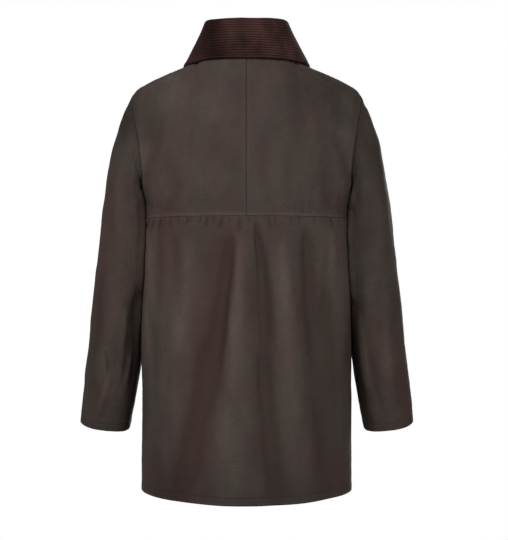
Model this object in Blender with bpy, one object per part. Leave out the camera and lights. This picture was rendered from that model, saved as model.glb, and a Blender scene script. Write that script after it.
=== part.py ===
"""Waxed cotton jacket in its worn form, with a corduroy collar and a closed front zip.

Every panel is a cloth wall, cut and joined where a maker cuts and joins it. The wearer
faces -Y and their left is +X. The origin is where the wearer's shoulders hold the jacket,
on the centre line and level with the two side neck points. Units are metres, +Z is up.

A position round the body is given in quarter turns: 0 is the left side seam, 1 the centre
back, 2 the right side seam and 3 the centre front.
"""

import math

import bmesh
import bpy
import numpy as np
from mathutils import Matrix, Vector
from mathutils.bvhtree import BVHTree

# Cloth and seams
CLOTH = 0.0015
SEAM_GAP = 0.0003
SHARP_ANGLE = math.radians(40)
COLLAR_CLOTH = 0.0034
TAPE = 0.0008

# Heights of the main lines
YOKE_SEAM = -0.300
UNDERARM = -0.262
HEM_AT_SIDES = -0.8125
HEM_DIP_BACK = 0.0135
HEM_DIP_FRONT = 0.006

# Neckline: half its width, and how far the centre back and centre front lie from the sides
NECK_HALF_WIDTH = 0.088
NECK_BACK = 0.070
NECK_BACK_RISE = 0.012
NECK_FRONT = 0.098
NECK_FRONT_DROP = 0.083
NECK_SQUARENESS = 2.2
FRONT_EDGE = 0.0065

# How many faces the panels have
HEM_ROWS = 12
SIDE_ROWS = 1
ARMHOLE_ROWS = 11
NECK_COLUMNS = 6
SHOULDER_COLUMNS = 7
NECK_SHARE = 0.4
RING_FLATNESS = 0.65
RUN_EASE = 1.6
PULL_FROM = 0.3
PULL_EASE = 1.6
SLEEVE_ROWS = 11
SLEEVE_CAP_STEPS = (0.0, 0.05, 0.12, 0.2, 0.3, 0.42, 0.56, 0.71, 0.86, 1.0)
SLEEVE_SETBACK = 0.0016

# Collar
COLLAR_COLUMNS = 34
COLLAR_END = 0.9635
EDGE_SMOOTHING = 2
FOLD_HALF_WIDTH = 0.0760
FOLD_BACK = 0.0640
FOLD_FRONT = 0.0880
FOLD_SQUARENESS = 2.8
FOLD_RADIUS = 0.0028
WALES = 15
WALE_HEIGHT = 0.0008
COLLAR_SEAT = 0.5 * (CLOTH + COLLAR_CLOTH) + 0.0018

# Zip
CHAIN_HALF_WIDTH = 0.0035
CHAIN_THICKNESS = 0.0024
TAPE_INNER = CHAIN_HALF_WIDTH + SEAM_GAP
TAPE_OUTER = 0.0200
TAPE_DEPTH = 0.5 * CLOTH + SEAM_GAP + 0.5 * TAPE
ZIP_STEPS = 24
CHAIN_FOOT = 0.022
CHAIN_HEAD = 0.019
ZIP_BOX_LENGTH = 0.009
SLIDER_WIDTH = 0.0100
SLIDER_LENGTH = 0.0150
SLIDER_PLATE = 0.0012
SLIDER_DIVIDER = 0.0030
BRIDGE_WIDTH = 0.0034
BRIDGE_LENGTH = 0.0078
BRIDGE_HEIGHT = 0.0032
BRIDGE_HOLE_LENGTH = 0.0046
BRIDGE_HOLE_HEIGHT = 0.0020
PULL_WIDTH = 0.0090
PULL_LENGTH = 0.0340
PULL_THICKNESS = 0.0009
PULL_BAR = 0.0012
PULL_EYE_WIDTH = 0.0050
PULL_EYE_LENGTH = 0.0062
PULL_CORNER = 0.0015
PULL_CORNER_STEPS = 3

# Colours (linear) and finish
WAXED_BROWN = (0.050, 0.037, 0.032, 1.0)
CORDUROY_BROWN = (0.026, 0.013, 0.012, 1.0)
TAPE_BROWN = (0.020, 0.015, 0.013, 1.0)
BRASS = (0.35, 0.24, 0.11, 1.0)


def table(names, *rows):
    """A table with named columns, as one array for each column."""
    return dict(zip(names.split(), np.array(rows, float).T))


# Level sections of the body below the yoke seam, from the hem up.
SECTIONS = table(
    "height half_width back front squareness",
    (-0.840, 0.1975, 0.1445, 0.1550, 2.5),
    (-0.760, 0.1978, 0.1415, 0.1530, 2.5),
    (-0.700, 0.1972, 0.1390, 0.1510, 2.5),
    (-0.620, 0.1970, 0.1350, 0.1480, 2.5),
    (-0.560, 0.1975, 0.1320, 0.1465, 2.5),
    (-0.505, 0.1955, 0.1295, 0.1455, 2.5),
    (-0.440, 0.1925, 0.1275, 0.1450, 2.5),
    (-0.380, 0.1900, 0.1265, 0.1450, 2.6),
    (-0.300, 0.1885, 0.1270, 0.1445, 2.6),
)

# Soft folds that hang from the yoke seam and chest. A trough has a negative depth.
BODY_FOLDS = table(
    "top foot top_around foot_around half_width depth",
    (-0.300, -0.900, 0.880, 0.690, 0.085, -0.0085),
    (-0.300, -0.920, 0.955, 0.900, 0.085, 0.0050),
    (-0.300, -0.900, 1.050, 1.150, 0.060, -0.0085),
    (-0.300, -0.920, 1.200, 1.290, 0.090, 0.0040),
    (-0.300, -0.900, 1.345, 1.480, 0.090, -0.0080),
    (-0.300, -0.620, 0.420, 0.380, 0.070, -0.0035),
    (-0.340, -0.900, 0.640, 0.560, 0.110, 0.0040),
    (-0.340, -0.920, 2.560, 2.480, 0.110, -0.0070),
    (-0.320, -0.920, 3.400, 3.470, 0.100, -0.0075),
    (-0.360, -0.920, 2.760, 2.740, 0.090, 0.0040),
    (-0.360, -0.900, 3.220, 3.250, 0.080, 0.0040),
)

# The shoulder seam, from the side neck point to the shoulder point.
SHOULDER = table(
    "share x z",
    (0.00, 0.0880, 0.0000),
    (0.25, 0.1210, -0.0160),
    (0.52, 0.1570, -0.0310),
    (0.78, 0.1900, -0.0470),
    (0.92, 0.2090, -0.0590),
    (1.00, 0.2178, -0.0710),
)

# Each half of the armhole, from the underarm to the shoulder point.
ARMHOLE_BACK = table(
    "x y z",
    (0.1900, 0.000, UNDERARM),
    (0.1915, 0.033, -0.250),
    (0.1925, 0.052, -0.222),
    (0.1968, 0.057, -0.185),
    (0.2035, 0.052, -0.147),
    (0.2110, 0.038, -0.112),
    (0.2160, 0.018, -0.084),
    (0.2178, 0.000, -0.071),
)
ARMHOLE_FRONT = table(
    "x y z",
    (0.1900, 0.000, UNDERARM),
    (0.1912, -0.034, -0.250),
    (0.1915, -0.053, -0.222),
    (0.1925, -0.059, -0.185),
    (0.1965, -0.056, -0.147),
    (0.2040, -0.043, -0.112),
    (0.2130, -0.022, -0.084),
    (0.2178, 0.000, -0.071),
)

# How the cloth runs up from the yoke seam and over to the top edge. Share 0 is the centre,
# rise and bulge shape the start of the run, and reach and sink its end.
BACK_RUNS = table(
    "share rise bulge reach sink",
    (0.00, 0.110, 0.004, 0.036, 0.070),
    (0.13, 0.115, 0.005, 0.048, 0.052),
    (0.27, 0.125, 0.006, 0.076, 0.022),
    (NECK_SHARE, 0.130, 0.006, 0.100, 0.004),
    (0.55, 0.128, 0.008, 0.100, 0.004),
    (0.75, 0.120, 0.012, 0.088, 0.008),
    (1.00, 0.090, 0.070, 0.050, 0.012),
)
FRONT_RUNS = table(
    "share rise bulge reach sink",
    (0.00, 0.080, 0.000, 0.016, 0.045),
    (NECK_SHARE, 0.120, 0.004, 0.074, 0.012),
    (0.75, 0.120, 0.012, 0.078, 0.016),
    (1.00, 0.090, 0.075, 0.055, 0.015),
)

# Sections of the left sleeve, from the upper arm to the cuff. Tilt is how much higher the
# outer side lies than the inner one, and pitch how much higher the back than the front.
SLEEVE_SECTIONS = table(
    "down height inner outer centre_y half_depth tilt pitch",
    (0.000, -0.320, 0.1918, 0.2738, 0.000, 0.0780, 0.040, 0.000),
    (0.075, -0.395, 0.1940, 0.2835, -0.003, 0.0735, 0.022, -0.002),
    (0.150, -0.470, 0.1977, 0.2935, -0.010, 0.0670, 0.014, -0.006),
    (0.225, -0.545, 0.2010, 0.3013, -0.022, 0.0610, 0.012, -0.012),
    (0.300, -0.620, 0.2115, 0.3122, -0.038, 0.0555, 0.012, -0.017),
    (0.375, -0.694, 0.2262, 0.3208, -0.055, 0.0510, 0.011, -0.020),
)
SLEEVE_SQUARENESS = 2.15
INNER_FLATNESS = 1.1
SLEEVE_LENGTH_BELOW = SLEEVE_SECTIONS["down"][-1]

# Creases of the sleeve: around is in quarter turns from the outer side over the back.
SLEEVE_FOLDS = table(
    "top foot top_around foot_around half_width depth",
    (0.090, 0.330, 1.550, 1.150, 0.200, -0.0050),
    (0.120, 0.390, 0.950, 0.800, 0.180, 0.0030),
    (0.140, 0.300, 2.700, 2.950, 0.250, -0.0050),
    (0.040, 0.220, 3.500, 3.300, 0.250, -0.0035),
)

# The collar from the centre back (0) to its front end (1): the height of its fold, the
# line of its outer edge, how far the fall bows out between the two, and how far the middle
# of its foot stands clear of the neckline.
COLLAR_LINES = table(
    "along fold_z edge_x edge_y edge_z bow lift",
    (0.00, 0.0682, 0.0000, 0.0835, -0.0074, 0.002, 0.0012),
    (0.18, 0.0682, 0.0520, 0.0785, -0.0080, 0.002, 0.0013),
    (0.34, 0.0680, 0.0920, 0.0560, -0.0105, 0.001, 0.0014),
    (0.50, 0.0645, 0.1175, 0.0000, -0.0115, 0.000, 0.0019),
    (0.64, 0.0450, 0.1180, -0.0420, -0.0340, 0.006, 0.0026),
    (0.80, 0.0050, 0.1040, -0.0850, -0.0780, 0.009, 0.0030),
    (1.00, -0.0420, 0.0780, -0.1200, -0.1320, 0.009, 0.0030),
)


# The edges of each panel that meet another panel or the neck.
SEAMED_EDGES = {
    "back_lower": ("top", "left", "right"),
    "back_yoke": ("foot", "top", "left", "right"),
    "front": ("top", "right"),
}


def curve_through(knots, values, at):
    """The smooth curve through the values at the knots, read at any positions."""
    knots = np.asarray(knots, float)
    values = np.asarray(values, float)
    slopes = np.gradient(values, knots, axis=0)
    at = np.clip(np.asarray(at, float), knots[0], knots[-1])
    i = np.clip(np.searchsorted(knots, at, side="right") - 1, 0, len(knots) - 2)
    span = knots[i + 1] - knots[i]
    t = (at - knots[i]) / span
    if values.ndim > 1:
        span, t = span[..., None], t[..., None]
    start = (1 + 2 * t) * (1 - t) ** 2 * values[i] + t * (1 - t) ** 2 * span * slopes[i]
    end = t**2 * (3 - 2 * t) * values[i + 1] + t**2 * (t - 1) * span * slopes[i + 1]
    return start + end


def read(rows, column, key, at):
    """A column of a table at any positions of its key column."""
    return curve_through(rows[key], rows[column], at)


def unit(vectors):
    return vectors / np.linalg.norm(vectors, axis=-1, keepdims=True)


def smoothstep(t):
    t = np.clip(t, 0, 1)
    return t * t * (3 - 2 * t)


def even_path(rows, steps):
    """Evenly spaced points on the smooth path through a table's x, y and z."""
    points = np.stack([rows["x"], rows["y"], rows["z"]], axis=1)
    lengths = np.linalg.norm(np.diff(points, axis=0), axis=1)
    knots = np.concatenate([[0], np.cumsum(lengths)])
    fine = curve_through(knots, points, np.linspace(0, knots[-1], 40 * steps))
    run = np.concatenate([[0], np.cumsum(np.linalg.norm(np.diff(fine, axis=0), axis=1))])
    at = np.linspace(0, run[-1], steps + 1)
    return np.stack([np.interp(at, run, fine[:, k]) for k in range(3)], axis=1)


def fold_relief(folds, around, along):
    """How far the folds of a table move the cloth out, at positions round and along it."""
    relief = np.zeros(np.broadcast(around, along).shape)
    for row in range(len(folds["top"])):
        top, foot = folds["top"][row], folds["foot"][row]
        share = (along - top) / (foot - top)
        centre = folds["top_around"][row] * (1 - share) + folds["foot_around"][row] * share
        away = (around - centre + 2) % 4 - 2
        fade = smoothstep(share / 0.25) * smoothstep((1 - share) / 0.35)
        relief += folds["depth"][row] * fade * np.exp(-((away / folds["half_width"][row]) ** 2))
    return relief


def rounded_plan(turn, half_width, back, front, squareness):
    """Unit plan directions, and how far out a rounded rectangle lies along each."""
    direction = unit(np.stack([np.cos(turn), RING_FLATNESS * np.sin(turn)], axis=-1))
    depth = np.where(direction[..., 1] > 0, back, front)
    across = (np.abs(direction[..., 0]) / half_width) ** squareness
    through = (np.abs(direction[..., 1]) / depth) ** squareness
    return direction, (across + through) ** (-1 / squareness)


def ring(around, height):
    """Points of the body below the yoke seam, with its folds."""
    around, height = np.broadcast_arrays(np.asarray(around, float), height)
    names = ("half_width", "back", "front", "squareness")
    section = [read(SECTIONS, name, "height", height) for name in names]
    direction, radius = rounded_plan(around * math.pi / 2, *section)
    radius = radius + fold_relief(BODY_FOLDS, around, height)
    return np.concatenate([direction * radius[..., None], height[..., None]], axis=-1)


def hem_height(around):
    """The hem dips at the centre back and, less, at the centre front."""
    dip = np.where(np.sin(around * math.pi / 2) > 0, HEM_DIP_BACK, HEM_DIP_FRONT)
    return HEM_AT_SIDES - dip * np.abs(np.sin(around * math.pi / 2)) ** 3


def neckline(around):
    """Points of the neck seam. It rises to the centre back and drops to the centre front."""
    turn = np.asarray(around, float) * math.pi / 2
    across = np.sign(np.cos(turn)) * np.abs(np.cos(turn)) ** (2 / NECK_SQUARENESS)
    depth = np.where(np.sin(turn) > 0, NECK_BACK, NECK_FRONT)
    through = np.sign(np.sin(turn)) * np.abs(np.sin(turn)) ** (2 / NECK_SQUARENESS)
    climb = np.where(np.sin(turn) > 0, NECK_BACK_RISE, -NECK_FRONT_DROP) * through**2
    return np.stack([NECK_HALF_WIDTH * across, depth * through, climb], axis=-1)


def shoulder_seam(share):
    x = read(SHOULDER, "x", "share", share)
    z = read(SHOULDER, "z", "share", share)
    return np.stack([x, np.zeros_like(x), z], axis=-1)


def column_shares():
    """Where a panel's columns stand between the centre (0) and the side (1)."""
    neck = np.linspace(0, NECK_SHARE, NECK_COLUMNS + 1)
    shoulder = np.linspace(NECK_SHARE, 1, SHOULDER_COLUMNS + 1)
    return np.concatenate([neck, shoulder[1:]])


def armhole_side(rows):
    """The side of an upper panel: the top of the side seam, then half of the armhole."""
    foot = np.array([SECTIONS["half_width"][-1], 0.0, YOKE_SEAM])
    arm = even_path(rows, ARMHOLE_ROWS)
    seam = [foot + (arm[0] - foot) * k / SIDE_ROWS for k in range(SIDE_ROWS)]
    return np.concatenate([np.array(seam), arm])


def upper_panel(facing):
    """Grid of the left half of the back (facing +1) or front (-1) above the yoke seam.

    Each column is a Bezier run from the seam up over the shoulder. Towards the side, the
    runs give way to the armhole's own line.
    """
    runs, rows = (BACK_RUNS, ARMHOLE_BACK) if facing > 0 else (FRONT_RUNS, ARMHOLE_FRONT)
    shares = column_shares()
    foot = ring(1 - shares if facing > 0 else 3 + shares, YOKE_SEAM)
    neck_around = 1 - np.linspace(0, 1, NECK_COLUMNS + 1)
    neck = neckline(neck_around if facing > 0 else 2 + 2 - neck_around)
    seam = shoulder_seam(np.linspace(0, 1, SHOULDER_COLUMNS + 1)[1:])
    top = np.concatenate([neck, seam])
    rise, bulge, reach, sink = (read(runs, c, "share", shares) for c in ("rise", "bulge", "reach", "sink"))
    none = np.zeros_like(rise)
    first = foot + np.stack([none, facing * bulge, rise], axis=-1)
    last = top + np.stack([none, facing * reach, -sink], axis=-1)
    side = armhole_side(rows)
    t = (np.linspace(0, 1, len(side)) ** RUN_EASE)[:, None, None]
    grid = (1 - t) ** 3 * foot + 3 * t * (1 - t) ** 2 * first + 3 * t**2 * (1 - t) * last + t**3 * top
    pull = (np.clip((shares - PULL_FROM) / (1 - PULL_FROM), 0, 1) ** PULL_EASE)[None, :, None]
    return grid + pull * (side - grid[:, -1])[:, None]


def lower_panel(around, foot_height, rows):
    """Grid of a panel from the hem up to the yoke seam."""
    share = np.linspace(0, 1, rows + 1)[:, None]
    height = foot_height * (1 - share) + YOKE_SEAM * share
    return ring(np.broadcast_to(around, height.shape[:1] + around.shape), height)


def grid_normals(grid, closed=False):
    """Unit normals of a grid. Their sign follows the order of its rows and columns."""
    down = np.gradient(grid, axis=0)
    if closed:
        wrapped = np.concatenate([grid[:, -1:], grid, grid[:, :1]], axis=1)
        across = np.gradient(wrapped, axis=1)[:, 1:-1]
    else:
        across = np.gradient(grid, axis=1)
    return unit(np.cross(down, across))


def outward(grid, normals, inside=(0.0, 0.0)):
    """The normals, turned to look away from the upright line inside the cloth."""
    away = grid[..., :2] - np.array(inside)
    return normals * np.sign((away * normals[..., :2]).sum())


def mirrored(grid, side):
    return grid * np.array([side, 1.0, 1.0])


def body_grids():
    """Grids of the five body panels. Where two panels meet they have the same points."""
    shares = column_shares()
    around = np.concatenate([shares, 2 - shares[-2::-1]])
    grids = {"back_lower": lower_panel(around, hem_height(around), HEM_ROWS)}
    for side, word in ((1, "left"), (-1, "right")):
        grids[f"back_yoke_{word}"] = mirrored(upper_panel(1), side)
        around = 3 + side * shares
        lower = lower_panel(around, hem_height(around), HEM_ROWS)
        grids[f"front_{word}"] = np.concatenate([lower[:-1], mirrored(upper_panel(-1), side)])
    return grids


def shared_normals(grids):
    """Outward normals of the panels. Panels that meet have the same normal at a shared point."""
    own = {name: outward(grid, grid_normals(grid)) for name, grid in grids.items()}
    total = {}
    for name, grid in grids.items():
        for point, normal in zip(grid.reshape(-1, 3), own[name].reshape(-1, 3)):
            key = tuple(np.round(point * 1e5).astype(int))
            total[key] = total.get(key, 0) + normal
    keys = {name: np.round(grid * 1e5).astype(int) for name, grid in grids.items()}
    return {
        name: unit(np.array([[total[tuple(key)] for key in row] for row in keys[name]]))
        for name in grids
    }


def drawn_in(grid, normals, edges):
    """The grid with the named edges drawn in by half of a seam's gap, within the cloth."""
    lines = {"foot": (np.s_[0], np.s_[1]), "top": (np.s_[-1], np.s_[-2]),
             "left": (np.s_[:, 0], np.s_[:, 1]), "right": (np.s_[:, -1], np.s_[:, -2])}
    drawn = grid.copy()
    for name in edges:
        edge, beside = lines[name]
        away = unit(np.cross(np.gradient(grid[edge], axis=0), normals[edge]))
        away *= np.sign((away * (grid[beside] - grid[edge])).sum(axis=1, keepdims=True))
        drawn[edge] += away * SEAM_GAP / 2
    return drawn


def armhole_ring(grids, normals):
    """The left armhole's points from the shoulder down the back, under the arm and up the front.

    With them come the body's outward normals there, and the directions into the hole.
    """
    first = HEM_ROWS + SIDE_ROWS

    def joined(arrays):
        back = arrays["back_yoke_left"][SIDE_ROWS:, -1][::-1]
        return np.concatenate([back, arrays["front_left"][first + 1:-1, -1]])

    points, out = joined(grids), joined(normals)
    tangent = unit(np.roll(points, -1, axis=0) - np.roll(points, 1, axis=0))
    into = unit(np.cross(tangent, out))
    middle = points.mean(axis=0)
    into *= np.sign(((middle - points) * into).sum(axis=1, keepdims=True))
    return points, out, into


def sleeve_section(down, turn):
    """Points of the left sleeve below the upper arm, at distances down it and turns round it."""
    down, turn = np.broadcast_arrays(np.asarray(down, float), turn)
    names = ("height", "inner", "outer", "centre_y", "half_depth", "tilt", "pitch")
    height, inner, outer, centre_y, half_depth, tilt, pitch = (
        read(SLEEVE_SECTIONS, name, "down", down) for name in names
    )
    power = 2 / (SLEEVE_SQUARENESS + INNER_FLATNESS * ((1 - np.cos(turn)) / 2) ** 2)
    across = np.sign(np.cos(turn)) * np.abs(np.cos(turn)) ** power
    through = np.sign(np.sin(turn)) * np.abs(np.sin(turn)) ** power
    relief = fold_relief(SLEEVE_FOLDS, turn / (math.pi / 2), down)
    x = (inner + outer) / 2 + ((outer - inner) / 2 + relief) * across
    y = centre_y + (half_depth + relief) * through
    z = height + across * tilt / 2 + through * pitch / 2
    return np.stack([x, y, z], axis=-1)


def sleeve(grids, normals):
    """Left sleeve: the seam ring, the cap down to the upper arm, then the tube, with normals."""
    points, out, into = armhole_ring(grids, normals)
    turn = np.linspace(0, 2 * math.pi, 2 * ARMHOLE_ROWS, endpoint=False)
    under = ((1 - np.cos(turn)) / 2)[:, None]
    seam = points + into * SEAM_GAP / 2
    start = seam + into * SLEEVE_SETBACK
    arm = sleeve_section(0.0, turn)
    fall = unit(sleeve_section(0.02, turn) - arm)
    leave = unit(into + out * 0.8 * under)
    first = start + leave * (0.046 * (1 - under) + 0.009 * under)
    last = arm - fall * (0.095 * (1 - under) + 0.030 * under)
    t = np.array(SLEEVE_CAP_STEPS)[:, None, None]
    cap = (1 - t) ** 3 * start + 3 * t * (1 - t) ** 2 * first + 3 * t**2 * (1 - t) * last + t**3 * arm
    down = np.linspace(0, SLEEVE_LENGTH_BELOW, SLEEVE_ROWS + 1)[1:, None]
    grid = np.concatenate([seam[None], cap, sleeve_section(down, turn[None])])
    away = outward(grid, grid_normals(grid, closed=True), grid[..., :2].mean(axis=(0, 1)))
    away[0] = out
    return grid, away


def material(name, colour, roughness, metallic=0.0):
    made = bpy.data.materials.new(name)
    made.use_nodes = True
    shader = made.node_tree.nodes["Principled BSDF"]
    shader.inputs["Base Color"].default_value = colour
    shader.inputs["Roughness"].default_value = roughness
    shader.inputs["Metallic"].default_value = metallic
    made.diffuse_color = colour
    return made


def wall_mesh(name, outer, inner, closed=False, inner_rows=None):
    """A closed wall between two grids with the same columns.

    The inner grid may have fewer rows: inner_rows then gives the outer row behind each. Every
    four-sided stretch is cut along its shorter diagonal, the same way on both faces.
    """
    columns = outer.shape[1]
    wide = columns if closed else columns - 1
    shift = outer.shape[0] * columns
    points = np.concatenate([outer.reshape(-1, 3), inner.reshape(-1, 3)])

    def strip(a, b):
        quads = [(a + j, b + j, b + (j + 1) % columns, a + (j + 1) % columns) for j in range(wide)]
        return [triangle for quad in quads for triangle in halves(quad, points)]

    faces = [face for i in range(outer.shape[0] - 1) for face in strip(i * columns, (i + 1) * columns)]
    if inner_rows is None:
        inner_rows = range(outer.shape[0])
        faces += [tuple(shift + corner for corner in reversed(face)) for face in faces]
    else:
        for i in range(inner.shape[0] - 1):
            faces += strip(shift + (i + 1) * columns, shift + i * columns)
    faces += strip(shift, 0)
    faces += strip((outer.shape[0] - 1) * columns, shift + (inner.shape[0] - 1) * columns)
    if not closed:
        for j in (0, columns - 1):
            faces += end_faces(inner_rows, columns, shift, j)
    mesh = bpy.data.meshes.new(name)
    mesh.from_pydata(points.tolist(), [], faces)
    edit = bmesh.new()
    edit.from_mesh(mesh)
    bmesh.ops.recalc_face_normals(edit, faces=edit.faces)
    edit.to_mesh(mesh)
    edit.free()
    return mesh


def halves(quad, points):
    """The two triangles of a four-sided face, cut along its shorter diagonal."""
    a, b, c, d = quad
    if np.linalg.norm(points[a] - points[c]) <= np.linalg.norm(points[b] - points[d]):
        return (a, b, c), (a, c, d)
    return (a, b, d), (b, c, d)


def end_faces(inner_rows, columns, shift, j):
    """Triangles that close a wall's end at column j, between its outer and inner rows."""
    faces = []
    for i, (first, last) in enumerate(zip(inner_rows[:-1], inner_rows[1:])):
        middle = (first + last + 1) // 2
        here, there = shift + i * columns + j, shift + (i + 1) * columns + j
        faces += [(k * columns + j, (k + 1) * columns + j, here) for k in range(first, middle)]
        faces.append((middle * columns + j, there, here))
        faces += [(k * columns + j, (k + 1) * columns + j, there) for k in range(middle, last)]
    return faces


def add_object(name, mesh, collection, finish):
    made = bpy.data.objects.new(name, mesh)
    collection.objects.link(made)
    made.data.materials.append(finish)
    mesh.shade_smooth()
    mesh.set_sharp_from_angle(angle=SHARP_ANGLE)
    return made


def cloth_wall(name, grid, normals, collection, finish, thickness=CLOTH, closed=False):
    """A wall about the middle of the cloth."""
    half = normals * thickness / 2
    return add_object(name, wall_mesh(name, grid + half, grid - half, closed), collection, finish)


def seated(point, jacket, clearance):
    """The point, moved out along the jacket's surface normal until it clears the cloth."""
    found, normal, _, distance = jacket.find_nearest(Vector(point))
    height = (Vector(point) - found).dot(normal)
    beside = abs(height) < 0.8 * distance and distance > clearance
    if height < clearance and not beside:
        return np.array(found + normal * clearance)
    return point


def collar_columns():
    """Neck seam, fold axis, edge, bow, lift and outward direction of each column, right to left."""
    even = np.linspace(-1, 1, COLLAR_COLUMNS + 1)
    along = 1.3 * even - 0.3 * even**3
    around = 1 - 2 * COLLAR_END * along
    neck = neckline(around)
    direction, radius = rounded_plan(
        around * math.pi / 2, FOLD_HALF_WIDTH, FOLD_BACK, FOLD_FRONT, FOLD_SQUARENESS
    )
    lines = {name: read(COLLAR_LINES, name, "along", np.abs(along)) for name in COLLAR_LINES}
    axis_z = lines["fold_z"] - FOLD_RADIUS
    axis = np.concatenate([direction * radius[:, None], axis_z[:, None]], axis=1)
    edge = np.stack([np.sign(along) * lines["edge_x"], lines["edge_y"], lines["edge_z"]], axis=1)
    plan = np.array([1 / FOLD_HALF_WIDTH**2, 1 / FOLD_BACK**2])
    out = unit(direction * plan)
    level = np.zeros((len(out), 1))
    return neck, axis, edge, lines["bow"], lines["lift"], np.concatenate([out, level], axis=1)


def collar_section(neck, axis, edge, bow, lift, out, fall_steps, stand_steps, fold_steps):
    """Middle line of the collar wall at one column: up the stand, over the fold, down the fall."""
    inner_top = axis - out * FOLD_RADIUS
    outer_top = axis + out * FOLD_RADIUS
    foot = neck + unit(inner_top - neck) * lift
    stand = [foot + (inner_top - foot) * k / stand_steps for k in range(stand_steps)]
    up = np.array([0.0, 0.0, 1.0])
    angles = [math.pi * (1 - k / fold_steps) for k in range(fold_steps)]
    fold = [axis + (out * math.cos(a) + up * math.sin(a)) * FOLD_RADIUS for a in angles]
    down = unit(edge - outer_top)
    swell = unit(out - down * np.dot(out, down)) * bow
    shares = np.linspace(0, 1, fall_steps + 1)
    fall = [outer_top + (edge - outer_top) * u + swell * 4 * u * (1 - u) for u in shares]
    return np.array(stand + fold + fall)


def collar(jacket):
    """Outer grid with its wales, plain inner grid, and the outer row behind each inner one."""
    neck, axis, edge, bow, lift, out = collar_columns()
    for _ in range(EDGE_SMOOTHING):
        edge = np.array([seated(point, jacket, COLLAR_SEAT) for point in edge])
        edge[1:-1] = (edge[:-2] + 2 * edge[1:-1] + edge[2:]) / 4
    edge = np.array([seated(point, jacket, COLLAR_SEAT) for point in edge])
    fall_steps, stand_steps, fold_steps = 2 * WALES, 4, 4
    fine = np.stack(
        [collar_section(*column, fall_steps, stand_steps, fold_steps)
         for column in zip(neck, axis, edge, bow, lift, out)],
        axis=1,
    )
    for row in fine[stand_steps + fold_steps:]:
        row[:] = [seated(point, jacket, COLLAR_SEAT) for point in row]
    normals = grid_normals(fine)
    normals *= np.sign((normals[-1] * out).sum())
    row = np.arange(fine.shape[0])
    on_fall = row > stand_steps + fold_steps
    crest = on_fall & ((row - stand_steps - fold_steps) % 2 == 1)
    half = COLLAR_CLOTH / 2 + WALE_HEIGHT * crest
    plain = np.concatenate([row[:stand_steps + fold_steps:2], row[stand_steps + fold_steps::6]])
    outer = fine + normals * half[:, None, None]
    inner = (fine - normals * COLLAR_CLOTH / 2)[plain]
    return outer, inner, plain


def front_line(height):
    """The centre front's line: points on the middle of the cloth, and outward directions."""
    lower = lower_panel(np.array([3.0]), hem_height(np.array([3.0])), HEM_ROWS)[:, 0]
    line = np.concatenate([lower[:-1], upper_panel(-1)[:, 0]])
    points = curve_through(line[:, 2], line, height)
    step = 0.002
    along = curve_through(line[:, 2], line, height + step) - curve_through(line[:, 2], line, height - step)
    out = unit(np.stack([np.zeros(len(height)), -along[:, 2], along[:, 1]], axis=1))
    return points, out


def zip_heights():
    """Foot and head of the closed chain."""
    hem = float(hem_height(np.array(3.0)))
    return hem + CHAIN_FOOT, -NECK_FRONT_DROP - CHAIN_HEAD


def zip_strip(from_x, to_x, foot, head, depth, steps=ZIP_STEPS):
    """Grid and normals of a strip along the centre front, at a depth below the cloth's middle."""
    points, out = front_line(np.linspace(foot, head, steps + 1))
    middle = points - out * depth
    across = np.array([[from_x, 0, 0], [to_x, 0, 0]])
    return middle[:, None] + across[None], np.repeat(out[:, None], 2, axis=1)


def box_mesh(name, low, high, matrix):
    edit = bmesh.new()
    size = Vector(high) - Vector(low)
    middle = (Vector(high) + Vector(low)) / 2
    bmesh.ops.create_cube(edit, size=1.0, matrix=matrix @ Matrix.Translation(middle) @ Matrix.Diagonal((*size, 1.0)))
    mesh = bpy.data.meshes.new(name)
    edit.to_mesh(mesh)
    edit.free()
    return mesh


def slider_frame():
    """Local frame of the slider: x across, y out from the chain's middle, z up the zip."""
    _, head = zip_heights()
    point, out = front_line(np.array([head]))
    origin = Vector(point[0] - out[0] * TAPE_DEPTH)
    y = Vector(out[0])
    z = Vector((0.0, -out[0][2], out[0][1]))
    z = -z if z.z < 0 else z
    x = y.cross(z)
    return Matrix.Translation(origin) @ Matrix((x, y, z)).transposed().to_4x4()


def slider(collection, cutters, finish):
    """Two plates joined by the divider above the chain's end, and the bridge for the pull."""
    frame = slider_frame()
    gap = CHAIN_THICKNESS / 2 + SEAM_GAP
    front_face = gap + SLIDER_PLATE
    half = SLIDER_WIDTH / 2
    foot, top = -SLIDER_LENGTH * 0.6, SLIDER_LENGTH * 0.4
    made = add_object("zip_slider", box_mesh("zip_slider", (-half, gap, foot), (half, front_face, top), frame),
                      collection, finish)
    bridge_foot = -BRIDGE_LENGTH / 2
    pieces = {
        "slider_back": ((-half, -front_face, foot), (half, -gap, top)),
        "slider_divider": ((-SLIDER_DIVIDER / 2, -front_face + SLIDER_PLATE / 2, SEAM_GAP * 2),
                           (SLIDER_DIVIDER / 2, front_face - SLIDER_PLATE / 2, top * 0.9)),
        "slider_bridge": ((-BRIDGE_WIDTH / 2, front_face - SLIDER_PLATE / 2, bridge_foot),
                          (BRIDGE_WIDTH / 2, front_face + BRIDGE_HEIGHT, -bridge_foot)),
        "slider_hole": ((-BRIDGE_WIDTH, front_face, -BRIDGE_HOLE_LENGTH / 2),
                        (BRIDGE_WIDTH, front_face + BRIDGE_HOLE_HEIGHT, BRIDGE_HOLE_LENGTH / 2)),
    }
    for name, (low, high) in pieces.items():
        helper = bpy.data.objects.new(name, box_mesh(name, low, high, frame))
        cutters.objects.link(helper)
        helper.hide_render = True
        helper.display_type = "WIRE"
        join = made.modifiers.new(name, "BOOLEAN")
        join.operation = "DIFFERENCE" if name == "slider_hole" else "UNION"
        join.object = helper
    return made


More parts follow.
